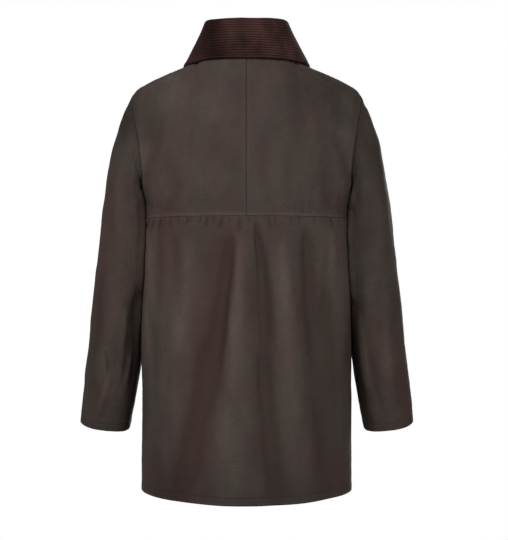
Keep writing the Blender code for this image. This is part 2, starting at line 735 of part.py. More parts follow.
def pull_pivot():
    """Middle of the pull's bar, inside the bridge."""
    out = CHAIN_THICKNESS / 2 + SEAM_GAP + SLIDER_PLATE + BRIDGE_HOLE_HEIGHT / 2
    return slider_frame() @ Vector((0.0, out, -BRIDGE_HOLE_LENGTH / 2 + PULL_BAR / 2 + 2 * SEAM_GAP))


def rounded_outline(half_width, top, foot, corner):
    """Points round an upright rounded rectangle, from its top right corner."""
    corners = ((half_width, top, 0), (-half_width, top, 1), (-half_width, foot, 2), (half_width, foot, 3))
    points = []
    for x, y, quarter in corners:
        middle = (x - math.copysign(corner, x), y - math.copysign(corner, y - (top + foot) / 2))
        for k in range(PULL_CORNER_STEPS + 1):
            angle = (quarter + k / PULL_CORNER_STEPS) * math.pi / 2
            points.append((middle[0] + corner * math.cos(angle), middle[1] + corner * math.sin(angle)))
    return np.array(points)


def pull(collection, finish):
    """The pull tab: a flat plate that hangs from the bar of its eye. Its origin is the pivot."""
    bar = PULL_BAR / 2
    rim = rounded_outline(PULL_WIDTH / 2, bar, bar - PULL_LENGTH, PULL_CORNER)
    eye = rounded_outline(PULL_EYE_WIDTH / 2, -bar, -bar - PULL_EYE_LENGTH, PULL_CORNER / 3)
    half = PULL_THICKNESS / 2
    loops = ((rim, half), (eye, half), (eye, -half), (rim, -half))
    points = [(x, depth, z) for loop, depth in loops for x, z in loop]
    around = len(rim)
    faces = [
        (k * around + i, k * around + j, (k + 1) % 4 * around + j, (k + 1) % 4 * around + i)
        for k in range(4)
        for i, j in zip(range(around), [*range(1, around), 0])
    ]
    mesh = bpy.data.meshes.new("zip_pull")
    mesh.from_pydata(points, [], faces)
    edit = bmesh.new()
    edit.from_mesh(mesh)
    bmesh.ops.recalc_face_normals(edit, faces=edit.faces)
    edit.to_mesh(mesh)
    edit.free()
    made = add_object("zip_pull", mesh, collection, finish)
    made.matrix_world = Matrix.Translation(pull_pivot()) @ slider_frame().to_3x3().to_4x4()


def zip_parts(collection, cutters, tape_finish, metal):
    foot, head = zip_heights()
    tape_foot = float(hem_height(np.array(3.0))) + 0.006
    tape_head = -NECK_FRONT_DROP - 0.003
    for name, side in (("zip_tape_left", 1), ("zip_tape_right", -1)):
        strip = zip_strip(side * TAPE_INNER, side * TAPE_OUTER, tape_foot, tape_head, TAPE_DEPTH)
        cloth_wall(name, *strip, collection, tape_finish, TAPE)
    chain = zip_strip(-CHAIN_HALF_WIDTH, CHAIN_HALF_WIDTH, foot, head, TAPE_DEPTH)
    cloth_wall("zip_chain", *chain, collection, metal, CHAIN_THICKNESS)
    box_head = foot - SEAM_GAP
    box_foot = box_head - ZIP_BOX_LENGTH
    box = zip_strip(-CHAIN_HALF_WIDTH, CHAIN_HALF_WIDTH, box_foot, box_head, TAPE_DEPTH, 1)
    cloth_wall("zip_box", *box, collection, metal, CHAIN_THICKNESS * 1.3)
    slider(collection, cutters, metal)
    pull(collection, metal)


def jacket_surface(grids, normals):
    """A search tree over the middle of the body's cloth, with its faces looking out."""
    points, faces = [], []
    for name, grid in grids.items():
        rows, columns = grid.shape[:2]
        shift = len(points)
        points += grid.reshape(-1, 3).tolist()
        across = np.cross(grid[1, 0] - grid[0, 0], grid[0, 1] - grid[0, 0])
        turned = np.dot(across, normals[name][0, 0]) < 0
        for i in range(rows - 1):
            for j in range(columns - 1):
                a = shift + i * columns + j
                face = (a, a + columns, a + columns + 1, a + 1)
                faces.append(face[::-1] if turned else face)
    return BVHTree.FromPolygons(points, faces)


def main():
    for old in list(bpy.data.objects):
        bpy.data.objects.remove(old)
    jacket = bpy.data.collections.new("waxed_cotton_jacket")
    cutters = bpy.data.collections.new("cutters")
    for collection in (jacket, cutters):
        bpy.context.scene.collection.children.link(collection)
    waxed = material("waxed_cotton", WAXED_BROWN, 0.62)
    corduroy = material("corduroy", CORDUROY_BROWN, 0.9)
    tape = material("zip_tape", TAPE_BROWN, 0.85)
    brass = material("brass", BRASS, 0.35, 1.0)

    grids = body_grids()
    normals = shared_normals(grids)
    for name, grid in grids.items():
        panel = drawn_in(grid, normals[name], SEAMED_EDGES[name.split("_left")[0].split("_right")[0]])
        if name.startswith("front"):
            panel[:, 0, 0] = math.copysign(FRONT_EDGE, grid[0, -1, 0])
        cloth_wall(name, panel, normals[name], jacket, waxed)
    arm, away = sleeve(grids, normals)
    for side, word in ((1, "left"), (-1, "right")):
        half = (mirrored(arm, side), mirrored(away, side))
        cloth_wall(f"sleeve_{word}", *half, jacket, waxed, closed=True)
    outer, inner, rows = collar(jacket_surface(grids, normals))
    add_object("collar", wall_mesh("collar", outer, inner, inner_rows=rows), jacket, corduroy)
    zip_parts(jacket, cutters, tape, brass)


main()
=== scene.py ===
"""Looks of the waxed cotton jacket: cloth shells with their creases and seams, corduroy collar,
zip, stitching, finishes and the studio.

Every piece is made from named sizes, in metres, in the same frame as the solids it dresses. A
position round the body is in quarter turns: 0 is the left side seam, 1 the centre back, 2 the
right side seam and 3 the centre front. +X is the wearer's left and -Y is the front.
"""

import math
from functools import cache

import bmesh
import bpy
import numpy as np
from bpy.props import FloatProperty, FloatVectorProperty, IntProperty, PointerProperty
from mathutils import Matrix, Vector
from mathutils.bvhtree import BVHTree


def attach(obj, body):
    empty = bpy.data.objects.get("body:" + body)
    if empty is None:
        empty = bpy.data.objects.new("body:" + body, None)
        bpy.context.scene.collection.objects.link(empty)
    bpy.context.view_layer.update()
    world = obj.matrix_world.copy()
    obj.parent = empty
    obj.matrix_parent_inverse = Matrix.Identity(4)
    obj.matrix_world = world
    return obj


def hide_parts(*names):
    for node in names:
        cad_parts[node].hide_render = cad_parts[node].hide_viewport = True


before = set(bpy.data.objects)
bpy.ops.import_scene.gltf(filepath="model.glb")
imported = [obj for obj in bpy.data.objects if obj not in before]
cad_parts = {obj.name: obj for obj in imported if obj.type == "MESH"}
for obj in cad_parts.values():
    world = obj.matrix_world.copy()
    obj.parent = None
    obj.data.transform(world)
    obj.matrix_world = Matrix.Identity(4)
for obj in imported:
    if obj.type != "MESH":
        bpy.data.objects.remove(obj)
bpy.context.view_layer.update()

bl_info = {
    "name": "Waxed Cotton Jacket",
    "version": (1, 0, 0),
    "blender": (4, 5, 0),
    "location": "View3D > Sidebar > Jacket",
    "description": "Makes a waxed cotton jacket with a corduroy collar, a zip and sewn seams",
    "category": "Add Mesh",
}

SIDES = {"left": 1, "right": -1}

# Cloth and seams, as in the solids
CLOTH = 0.0015
SEAM_GAP = 0.0003
COLLAR_CLOTH = 0.0034
TAPE = 0.0008
YOKE_SEAM = -0.3
SEAM_DIP = 0.0065
SEAM_DIP_POWER = 2.2
HEM_AT_SIDES = -0.8125
HEM_DIP_BACK = 0.0135
HEM_DIP_FRONT = 0.006
HEM_DIP_POWER = 3
NECK_HALF_WIDTH = 0.088
NECK_BACK = 0.07
NECK_BACK_RISE = 0.012
NECK_FRONT = 0.098
NECK_FRONT_DROP = 0.083
NECK_SQUARENESS = 2.2
FRONT_EDGE = 0.0065
NECK_SHARE = 0.4
RING_FLATNESS = 0.65
RUN_EASE = 1.6
PULL_FROM = 0.3
PULL_EASE = 1.6
SLEEVE_SETBACK = 0.0016
SLEEVE_SQUARENESS = 2.15
INNER_FLATNESS = 1.1

# How the sleeve's cap leaves the armhole and meets the arm, on top and under the arm
CAP_START = {"top": 0.046, "under": 0.009}
CAP_END = {"top": 0.095, "under": 0.03}
CAP_LEAN = 0.8
CAP_FALL = 0.02
HEAD_FROM = 0.1
HEAD_UNTIL = 0.7
HEAD_WIDTH = 0.5

# How finely the shells are divided: coarse steps of the solids and parts of each
NECK_COLUMNS = 6
SHOULDER_COLUMNS = 7
COARSE_COLUMNS = NECK_COLUMNS + SHOULDER_COLUMNS
ARMHOLE_ROWS = 11
LOWER_ROWS = 12
SLEEVE_ROWS = 11
FINE = 8
FINE_ACROSS = 11
FINE_LOWER = 8
FINE_DOWN = 6
SLEEVE_CAP_STEPS = (0.0, 0.05, 0.12, 0.2, 0.3, 0.42, 0.56, 0.71, 0.86, 1.0)
# Extra rows: beside an edge, in parts of a fine step, and beside the stitches of a turned edge
END_PARTS = (0.25, 0.55)
TURNED_ROWS = np.array([0.0122, 0.0136, 0.015])
PATH_SAMPLES = 480
SEAM_MATCH = 0.00005
SMOOTH_ANGLE = math.radians(62)

# Where the ridge below the neck corner is smoothed away, in shares of the panel
EASE_REACH = 0.075
EASE_WIDTH = 0.17
EASE_TOP = 0.72
EASE_FOOT = 0.25

# Folds and creases: the shares of their length over which they rise and fade, how much the
# cloth rises beside a crease, and how the finish reads them as painted shade in troughs and
# lighter ridges
FOLD_FADES = (0.25, 0.35)
CREASE_FADES = (0.14, 0.4)
CREASE_SHOULDER = 0.35
CREASE_SCALE = 0.0025
FOLD_MARK = 0.22
# A quarter turn of a sleeve, as the tables of its creases measure it
QUARTER = 0.105

# Soft unevenness: how many waves are laid over each other, and height, size and upright share of
# each kind
COCKLE_WAVES = 22
COCKLE_SPREAD = (0.6, 1.7)
PANEL_WAVES = ((0.00042, 0.06, 0.55), (0.00016, 0.021, 0.8))
SLEEVE_WAVES = ((0.0005, 0.055, 0.6), (0.00018, 0.02, 0.8))
SOFT_REACH = 0.02
PUCKER_PITCH = 0.0085
PUCKER_SPREAD = (0.5, 1.5)
LONGEST_EDGE = 3.2

# Turned and sewn edges
HEM_TURN = 0.0145
HEM_ALLOWANCE = 0.001
HEM_STEP = 0.002
HEM_STITCHES = 0.0135
CUFF_STITCHES = 0.014
RIM_BULGE = 0.4
ROLL_WIDTH = 0.001
GROOVE_WIDTH = 0.0012
GROOVE_DEPTH = 0.0006
# How strongly the sewn groove by a hem or cuff is painted as shade
GROOVE_MARK = 0.0016
RUB_AT = 0.0022
RUB_WIDTH = 0.0017
SEAM_REACH = 0.02
# Painted shade towards the hem and cuffs: how far it reaches and how dark it is
HEM_SHADE_REACH = 0.03
HEM_SHADE = 0.6
ALLOWANCE_STEPS = (0.0003, 0.0034, 0.007)
ALLOWANCE_CLOTH = 0.0008
ALLOWANCE_DARK = 0.4

# Beside the armhole: the band of painted shade on each sleeve, and where the sewing hardly draws the cloth
HEAD_SHADE = {1: 0.012, -1: 0.013}
HEAD_DARK = 0.45
HEAD_DARK_TOP = -0.06
HEAD_DARK_FADE = 0.05
HEAD_PUCKER = 0.15
HEAD_CALM = 0.8
HEAD_CALM_FADE = 0.55
STILL_REACH = 0.004
STILL_SHARE = 0.1

# Where the sleeves lie against the body
REST_FROM = 0.35
REST_ROW = 8
REST_REACH = 0.016
REST_CLEAR = 0.0006
REST_HEAD = -0.232
REST_FOOT = -0.56
REST_FADE = 0.08

# Patches of dye, of painted shade and of painted light lie on the back and fade out at the sides
PATCH_SIDE = -0.05
PATCH_FADE = 0.04

# Collar
COLLAR_COLUMNS = 34
COLLAR_FINE = 132
COLLAR_END = 0.9635
COLUMN_SPREAD = 0.3
EDGE_SMOOTHING = 2
FOLD_HALF_WIDTH = 0.076
FOLD_BACK = 0.064
FOLD_FRONT = 0.088
FOLD_SQUARENESS = 2.8
FOLD_RADIUS = 0.0028
STAND_STEPS = 4
FOLD_STEPS = 4
STAND_WALES = 11
FOLD_WALES = 2
WALES = 15
WALE_STEPS = 8
WALE_SQUARENESS = 3.2
WALE_SWAY = 0.0004
WALE_UNEVENNESS = 0.1
COLLAR_WAVE = 0.0003
COLLAR_SEED = 41
COLLAR_SOFT_REACH = 0.012
COLLAR_ROLL = 0.0005
COLLAR_ROLL_WIDTH = 0.0011
COLLAR_BULGE = 0.42
COLLAR_SEAT = 0.5 * (CLOTH + COLLAR_CLOTH) + 0.0018
# A point that lies more aside than this from the nearest cloth is left where it is
SEAT_SLANT = 0.8
# The faint seam down the middle of its fall, strongest near the edge
MIDDLE_DEPTH = 0.0007
MIDDLE_WIDTH = 0.0012
MIDDLE_FAINT = 0.25
MIDDLE_STRONG = 0.034
MIDDLE_FADE = 0.01

# Zip
CHAIN_HALF_WIDTH = 0.0035
TAPE_INNER = CHAIN_HALF_WIDTH + SEAM_GAP
TAPE_DEPTH = 0.5 * CLOTH + SEAM_GAP + 0.5 * TAPE
TAPE_FOOT = 0.006
TAPE_HEAD = 0.003
TAPE_COLUMNS = (0.0, 0.0004, 0.0008, 0.0012, 0.0017, 0.0024, 0.005, 0.009, 0.013, 0.0155, 0.0162)
TAPE_ROWS = 150
THIN_BULGE = 0.3
BEAD_AT = 0.0008
BEAD_WIDTH = 0.00055
BEAD_RISE = 0.0005
CHAIN_FOOT = 0.022
CHAIN_HEAD = 0.019
CHAIN_MARGIN = 0.0008
POINTS_A_TOOTH = 5
FRONT_STEP = 0.002
# A tooth, from the tape to its nose: how far across, half its height and half its depth
TOOTH = (
    (-0.0034, 0.0004, 0.0009),
    (-0.0031, 0.00055, 0.0012),
    (-0.0014, 0.00055, 0.0012),
    (-0.0008, 0.00042, 0.00105),
    (0.0, 0.00042, 0.00095),
    (0.0005, 0.00058, 0.00085),
    (0.0009, 0.0004, 0.0006),
)

# A stitch of thread: along its length, height over the cloth, and the share of its thickness
STITCH = ((-0.5, -0.75, 0.8), (-0.4, 0.1, 1.0), (0.0, 0.42, 1.05), (0.4, 0.1, 1.0), (0.5, -0.75, 0.8))
STITCH_SHARE = 0.82
STITCH_UNEVENNESS = 0.08
# How far the rows of stitches lie from the edges they follow
SEAM_STITCHES = 0.002
ACROSS_STITCHES = 0.0024
CENTRE_STITCHES = 0.0018
FRONT_STITCHES = (0.0016, 0.007)
COLLAR_STITCHES = 0.003

# Marks in the collar's pile: a faint V in the middle of the back, and a dark band to its left
NAP_V = {"x": -0.0039, "z": 0.0087, "slope": 0.92, "width": 0.0055, "light": 0.14}
NAP_BAND = {"x": 0.066, "lean": 0.3, "width": 0.036, "dark": 0.66}

# Finishes: the range that most of a noise's values fill, the length of a slub in threads, where
# crushed lines show, how far in millimetres the painted shadow line lies beside a seam, and how
# fine the tufts of the pile and the scratches are
NOISE = (0.3, 0.7)
SLUB_LENGTH = 0.22
CRUSHED_SCALE = 13.0
CRUSHED = (0.46, 0.62)
SEAM_SHADOW = (0.3, 1.3)
TUFT_SCALE = 1500.0
SCRATCH_SCALE = 2600.0

# Seeds of two panels lie this far apart
SEED_STEP = 10

# Studio: floor, camera, and the place, size, power setting and share of it for each light
FLOOR_RADIUS = 2.6
FLOOR_SIDES = 96
FLOOR_HEIGHT = -1.5
FRAME_HEIGHT = 540
METRES_PER_PIXEL = 0.0019
CAMERA_DISTANCE = 3.0
CAMERA_X = -0.01387
CAMERA_Z = -0.399
SENSOR = 36.0
LIGHTS = {
    "key": ((1.3, 2.5, 1.55), 1.5, "key_power", 1.0),
    "fill": ((-2.1, 2.5, 0.4), 1.9, "fill_power", 1.0),
    "front": ((-0.9, -3.0, 0.1), 1.8, "key_power", 0.7),
}
LIGHTS_AIM = (0, 0, -0.4)


def table(names, *rows):
    """A table of lengths in millimetres, as one array in metres for each named column.

    A column whose name ends in * holds plain numbers, and a row may leave out its last values
    where they are 0.
    """
    names = names.split()
    columns = np.array([row + (0,) * (len(names) - len(row)) for row in rows], float).T
    return {
        name.rstrip("*"): values if "*" in name else values / 1000 for name, values in zip(names, columns)
    }


# Level sections of the body below the yoke seam, from the hem up.
SECTIONS = table(
    "height half_width back front squareness*",
    (-840, 197.5, 144.5, 155, 2.5),
    (-760, 197.8, 141.5, 153, 2.5),
    (-700, 197.2, 139, 151, 2.5),
    (-620, 197, 135, 148, 2.5),
    (-560, 197.5, 132, 146.5, 2.5),
    (-505, 195.5, 129.5, 145.5, 2.5),
    (-440, 192.5, 127.5, 145, 2.5),
    (-380, 190, 126.5, 145, 2.6),
    (-300, 188.5, 127, 144.5, 2.6),
)

# Soft folds that hang from the yoke seam and chest. A trough has a negative depth.
BODY_FOLDS = table(
    "top foot top_around* foot_around* half_width* depth",
    (-300, -900, 0.88, 0.69, 0.085, -8.5),
    (-300, -920, 0.955, 0.9, 0.085, 5),
    (-300, -900, 1.05, 1.15, 0.06, -8.5),
    (-300, -920, 1.2, 1.29, 0.09, 4),
    (-300, -900, 1.345, 1.48, 0.09, -8),
    (-300, -620, 0.42, 0.38, 0.07, -3.5),
    (-340, -900, 0.64, 0.56, 0.11, 4),
    (-340, -920, 2.56, 2.48, 0.11, -7),
    (-320, -920, 3.4, 3.47, 0.1, -7.5),
    (-360, -920, 2.76, 2.74, 0.09, 4),
    (-360, -900, 3.22, 3.25, 0.08, 4),
)

# The shoulder seam, from the side neck point to the shoulder point.
SHOULDER = table(
    "share* x z",
    (0, 88, 0),
    (0.25, 121, -16),
    (0.52, 157, -31),
    (0.78, 190, -47),
    (0.92, 209, -59),
    (1, 217.8, -71),
)

# Each half of the armhole, from the underarm to the shoulder point.
ARMHOLE_BACK = table(
    "x y z",
    (190, 0, -262),
    (191.5, 33, -250),
    (192.5, 52, -222),
    (196.8, 57, -185),
    (203.5, 52, -147),
    (211, 38, -112),
    (216, 18, -84),
    (217.8, 0, -71),
)
ARMHOLE_FRONT = table(
    "x y z",
    (190, 0, -262),
    (191.2, -34, -250),
    (191.5, -53, -222),
    (192.5, -59, -185),
    (196.5, -56, -147),
    (204, -43, -112),
    (213, -22, -84),
    (217.8, 0, -71),
)

# How the cloth runs up from the yoke seam and over to the top edge. Share 0 is the centre.
BACK_RUNS = table(
    "share* rise bulge reach sink",
    (0, 110, 4, 36, 70),
    (0.13, 115, 5, 48, 52),
    (0.27, 125, 6, 76, 22),
    (NECK_SHARE, 130, 6, 100, 4),
    (0.55, 128, 8, 100, 4),
    (0.75, 120, 12, 88, 8),
    (1, 90, 70, 50, 12),
)
FRONT_RUNS = table(
    "share* rise bulge reach sink",
    (0, 80, 0, 16, 45),
    (NECK_SHARE, 120, 4, 74, 12),
    (0.75, 120, 12, 78, 16),
    (1, 90, 75, 55, 15),
)

# Sections of the left sleeve, from the upper arm to the cuff.
SLEEVE_SECTIONS = table(
    "down height inner outer centre_y half_depth tilt pitch",
    (0, -320, 191.8, 273.8, 0, 78, 40, 0),
    (75, -395, 194, 283.5, -3, 73.5, 22, -2),
    (150, -470, 197.7, 293.5, -10, 67, 14, -6),
    (225, -545, 201, 301.3, -22, 61, 12, -12),
    (300, -620, 211.5, 312.2, -38, 55.5, 12, -17),
    (375, -694, 226.2, 320.8, -55, 51, 11, -20),
)
SLEEVE_LENGTH_BELOW = SLEEVE_SECTIONS["down"][-1]
SLEEVE_FOLDS = table(
    "top foot top_around* foot_around* half_width* depth",
    (90, 330, 1.55, 1.15, 0.2, -5),
    (120, 390, 0.95, 0.8, 0.18, 3),
    (140, 300, 2.7, 2.95, 0.25, -5),
    (40, 220, 3.5, 3.3, 0.25, -3.5),
)

# The collar from the centre back (0) to its front end (1).
COLLAR_LINES = table(
    "along* fold_z edge_x edge_y edge_z lift bow",
    (0, 68.2, 0, 83.5, -7.4, 1.2, 2),
    (0.18, 68.2, 52, 78.5, -8, 1.3, 2),
    (0.34, 68, 92, 56, -10.5, 1.4, 1),
    (0.5, 64.5, 117.5, 0, -11.5, 1.9),
    (0.64, 45, 118, -42, -34, 2.6, 6),
    (0.8, 5, 104, -85, -78, 3, 9),
    (1, -42, 78, -120, -132, 3, 9),
)

# Creases, each from a start to an end. Bow is how far its middle bends to the left of its way,
# and a ridge has a positive depth. On the body, x and z are as seen square on. Skew makes the
# left side of its way the steeper one.
BACK_CREASES = table(
    "x0 z0 x1 z1 start_width end_width depth bow skew*",
    # the three long troughs that start at the yoke seam, and the ridges between them
    (-16, -304, -33, -620, 7.5, 17, -4.2, -6, 0.55),
    (-16.5, -303, -17, -380, 2.8, 5, -1.6, 0, 0.3),
    (22, -314, 70, -690, 12, 16, -4.6, 2, -0.12),
    (66, -500, 149.4, -920, 13, 33, -4.6, -10, -0.3),
    (-109, -312, -143, -640, 11, 17, -4.2, 8, 0.15),
    (-68, -330, -78, -620, 15, 19, 2.2),
    (11, -320, 23, -700, 13, 18, 2.4, 2),
    (148, -305, 144, -540, 12, 16, 1.4),
    (108, -330, 116, -580, 13, 20, 1.8),
    (-158, -320, -158, -480, 8, 13, 2),
    (-27, -540, -64, -900, 15, 24, -2.7, 2, 0.3),
    (44, -620, 50, -900, 15, 20, 1.4),
    (-147, -400, -162, -900, 14, 26, -3.6, 2),
    # where the cloth is held out beside the arms
    (186, -240, 186, -640, 24, 24, 4),
    (-186, -240, -186, -560, 24, 24, 4),
    # short puckers where the fullness is eased into the seam, left to right
    (178, -306, 188, -328, 2, 3.5, -3.6, 1),
    (168, -305, 181, -334, 2, 4, -3.8, 1),
    (157, -304, 166, -330, 2, 4, -3.4, 1),
    (139, -302, 144, -320, 1.8, 3.2, -2.2),
    (125, -302, 129, -315, 1.7, 3, -1.9),
    (106, -302, 111, -322, 1.8, 3.5, -2.7),
    (100, -302, 103, -314, 1.6, 2.6, -1.9),
    (83, -302, 85, -317, 1.7, 3, -2.2),
    (71, -302, 76, -326, 1.8, 4, -2.5),
    (60, -302, 61, -314, 1.6, 2.8, -1.9),
    (44, -302, 48, -326, 1.8, 4, -2.2),
    (30, -302, 31, -318, 1.7, 3, -1.7),
    (12, -302, 13.5, -338, 1.8, 4.5, -2.5),
    (-6, -302, -7, -316, 1.6, 3, -1.6),
    (-40, -302, -45, -330, 1.8, 4.5, -2.2),
    (-52, -302, -54, -316, 1.6, 3, -1.6),
    (-81, -302, -84, -322, 1.8, 3.6, -1.9),
    (-96, -302, -100, -318, 1.8, 3.2, -1.7),
    (-124, -303, -128, -320, 1.8, 3.4, -1.7),
    (-154, -303, -164, -322, 2, 3.6, -2.5),
)
YOKE_CREASES = table(
    "x0 z0 x1 z1 start_width end_width depth bow",
    # wrinkles that stand on the seam, and slack near the armholes and under the collar
    (-90, -299, -89.5, -276, 1.8, 3.4, -0.9),
    (-104.5, -299, -104, -268, 1.8, 3.6, -1.1),
    (-117.5, -299, -117, -272, 1.8, 3.4, -1),
    (-131, -299, -131.5, -282, 1.8, 3, -0.8),
    (130, -299, 131, -284, 1.8, 3, -0.7),
    (93, -299, 92, -286, 1.8, 3, -0.6),
    (150, -296, 120, -215, 8, 16, -1.2, 4),
    (-156, -292, -135, -200, 8, 16, -1.2, -4),
    (185, -240, 145, -120, 8, 18, -1.4, -8),
    (-188, -240, -156, -130, 8, 18, -1.4, 8),
    (-98, -14, -135, -28, 2.4, 5, 1.3, 1),
    (-96, -22, -130, -44, 3.5, 7, -1.4, 2),
    (93, -20, 125, -40, 4, 8, -1, -2),
    (188, -150, 188, -380, 22, 24, 2.4),
    (-188, -120, -188, -360, 22, 24, 3.6),
    (50, -120, 62, -240, 22, 26, -1, 3),
    (-76, -110, -70, -230, 22, 26, -1, 3),
)
FRONT_CREASES = table(
    "x0 z0 x1 z1 start_width end_width depth bow",
    (96, -300, 108, -620, 11, 19, -2.6, 4),
    (56, -340, 50, -700, 12, 20, 1.8, 3),
    (145, -300, 152, -560, 9, 17, -2, 3),
    (-100, -310, -112, -640, 11, 19, -2.6, -4),
    (-60, -330, -52, -660, 12, 20, 1.8, -3),
    (-150, -290, -156, -540, 9, 17, -1.8, -2),
    (186, -235, 115, -165, 6, 14, -1.8, 6),
    (-186, -240, -112, -160, 6, 14, -1.8, -6),
    (178, -262, 120, -290, 6, 12, -1.4, -4),
    (-178, -266, -124, -300, 6, 12, -1.4, 4),
    (24, -560, 76, -600, 6, 12, -1.2, 4),
    (-22, -500, -70, -520, 6, 12, -1.2, -3),
    (23, -700, 65, -712, 6, 11, -1, 2),
    (-23, -680, -80, -700, 6, 12, -1, -3),
    (70, -640, 78, -790, 14, 20, -1.6),
    (-74, -640, -86, -790, 14, 20, -1.6),
)

# Creases of the sleeves. Here x is measured round the sleeve, from the outer side over the back.
LEFT_SLEEVE_CREASES = table(
    "x0 z0 x1 z1 start_width end_width depth bow",
    # the back of the sleeve: the elbow, the hollow of the forearm and the ridges beside it
    (196, -430, 130, -474, 8, 12, -1.8, 4),
    (164, -415, 160, -700, 17, 23, -4, 3),
    (128, -465, 124, -640, 9, 12, 2.6, -3),
    (105, -440, 108, -580, 12, 14, 1.6),
    (88, -545, 103, -602, 3.5, 5.5, -2.8, 3),
    (103, -600, 86, -690, 5, 8.5, 2.6, 2),
    (150, -560, 140, -620, 6, 9, 2.4, 2),
    (62, -380, 56, -600, 16, 20, -1.8, 4),
    (20, -300, 35, -480, 14, 20, -1.2, 4),
    # small puckers beside the armhole
    (172, -222, 148, -236, 2.4, 4, -1.8, 1),
    (174, -238, 146, -249, 2.6, 4.5, -1.8, 1),
    (176, -212, 156, -221, 2.4, 3.5, -1.2),
    (160, -150, 142, -166, 3, 5, -1, 1),
    # the front of the sleeve
    (250, -410, 325, -460, 8, 15, -2.6, 8),
    (245, -462, 335, -505, 7, 15, -2.2, 8),
    (262, -330, 325, -392, 9, 15, -1.8, 6),
    (350, -480, 330, -640, 11, 17, 1.8, 5),
    (300, -540, 320, -680, 11, 17, -2, 3),
)
RIGHT_SLEEVE_CREASES = table(
    "x0 z0 x1 z1 start_width end_width depth bow",
    (198, -448, 150, -478, 7, 12, -1.6, 3),
    (178, -440, 168, -705, 15, 20, -5.2, 2),
    (148, -500, 140, -660, 11, 14, 1.4, -2),
    (90, -470, 86, -660, 15, 19, 1, 4),
    (50, -400, 60, -600, 16, 20, -1.2, 4),
    (25, -280, 40, -440, 15, 20, -1, 4),
    (125, -610, 112, -690, 7, 11, -1.2, -2),
    (180, -282, 150, -291, 2.4, 4.2, -1.6),
    (176, -262, 156, -268, 2.4, 3.6, -1),
    (148, -112, 134, -122, 2.6, 4, -1.2, 1),
    (255, -420, 330, -470, 8, 15, -2.4, 8),
    (245, -470, 325, -524, 7, 15, -2.4, 8),
    (262, -340, 320, -404, 9, 15, -1.6, 6),
    (355, -500, 335, -650, 11, 17, 1.6, 5),
    (305, -550, 320, -680, 11, 17, -1.8, 3),
)

# Where the dye of the back has turned red, and patches of painted shade. A negative share is a
# patch of painted light.
WARM_PATCHES = table(
    "x z wide tall share*",
    (30, -370, 30, 80, 0.75),
    (64, -500, 30, 90, 0.65),
    (94, -700, 34, 150, 0.6),
    (150, -350, 22, 80, 0.6),
    (140, -220, 36, 70, 0.45),
    (185, -790, 20, 40, 0.7),
    (-180, -790, 22, 40, 0.7),
    (275, -330, 30, 160, 0.6),
    (300, -480, 20, 70, 0.6),
    (-300, -620, 20, 60, 0.7),
    (-270, -500, 20, 120, 0.15),
)
PAINTED_SHADING_PATCHES = table(
    "x z wide tall share*",
    # painted shade: the hem, the shoulders and below the collar
    (125, -785, 60, 50, 0.8),
    (0, -810, 200, 80, 0.3),
    (-40, -775, 70, 45, 0.3),
    (-150, -70, 60, 50, 0.9),
    (10, -60, 60, 40, 0.4),
    # painted shade: the heads of the sleeves, the elbows and where the arms lie against the sides
    (-222, -200, 40, 100, 1),
    (228, -110, 22, 60, 1.2),
    (222, -530, 17, 80, 0.75),
    (-208, -560, 16, 90, 0.9),
    (230, -680, 30, 50, 0.55),
    (-210, -330, 30, 150, 0.45),
    (-235, -640, 30, 30, 0.45),
    # painted light: the left shoulder, both sides of the back and the outer sides of the left arm
    (135, -50, 55, 45, -0.6),
    (165, -400, 26, 120, -0.45),
    (-178, -240, 16, 40, -0.55),
    (225, -365, 20, 45, -0.45),
    (255, -650, 20, 45, -0.4),
)

# How each edge of a panel is finished
FRONT_EDGES = {"foot": "hem", "left": "front_edge", "right": "plain", "top": "plain"}
EDGES = {
    "back_lower": {"top": "tucked", "left": "plain", "right": "plain", "foot": "hem"},
    "back_yoke_left": {"foot": "welt", "left": "plain", "right": "plain", "top": "plain"},
    "back_yoke_right": {"foot": "welt", "left": "lapped", "right": "plain", "top": "plain"},
    "front_left": FRONT_EDGES,
    "front_right": FRONT_EDGES,
    "sleeve": {"foot": "armhole", "top": "cuff"},
}
# Rise, reach, roll, pucker and rub of each kind. A negative rise sinks the cloth towards the seam,
# roll is how far its very edge turns down, and pucker is how strongly the sewing draws it.
EDGE_KINDS = {
    "plain": (0.0003, 0.006, 0.0007, 0.00022, 0.2),
    "lapped": (0.0007, 0.0042, 0.0003, 0.00022, 0.45),
    "welt": (0.0009, 0.0052, 0.0003, 0.00034, 1.0),
    "tucked": (0.0, 0.003, 0.0002, 0.0005, 0.0),
    "armhole": (-0.0018, 0.017, 0.0004, 0.0005, 0.0),
    "hem": (0.0004, 0.013, 0.0002, 0.0004, 0.55),
    "cuff": (0.0004, 0.013, 0.0002, 0.00034, 0.45),
    "front_edge": (0.0005, 0.008, 0.0004, 0.0002, 0.4),
}
# Edges that are turned in with a row of stitches, and those that meet no seam
TURNED_EDGES = ("hem", "cuff")
FREE_EDGES = (*TURNED_EDGES, "front_edge")
# An edge of a grid and the line beside it
EDGE_LINES = {
    "foot": (np.s_[0], np.s_[1]),
    "top": (np.s_[-1], np.s_[-2]),
    "left": (np.s_[:, 0], np.s_[:, 1]),
    "right": (np.s_[:, -1], np.s_[:, -2]),
}

# Outer faces of the dressed pieces, with their normals and distances from the edges
dressed = {}


def curve_through(knots, values, at):
    """The smooth curve through the values at the knots, read at any positions."""
    knots = np.asarray(knots, float)
    values = np.asarray(values, float)
    slopes = np.gradient(values, knots, axis=0)
    at = np.clip(np.asarray(at, float), knots[0], knots[-1])
    i = np.clip(np.searchsorted(knots, at, side="right") - 1, 0, len(knots) - 2)
    span = knots[i + 1] - knots[i]
    t = (at - knots[i]) / span
    if values.ndim > 1:
        grow = (...,) + (None,) * (values.ndim - 1)
        span, t = span[grow], t[grow]
    start = (1 + 2 * t) * (1 - t) ** 2 * values[i] + t * (1 - t) ** 2 * span * slopes[i]
    end = t**2 * (3 - 2 * t) * values[i + 1] + t**2 * (t - 1) * span * slopes[i + 1]
    return start + end


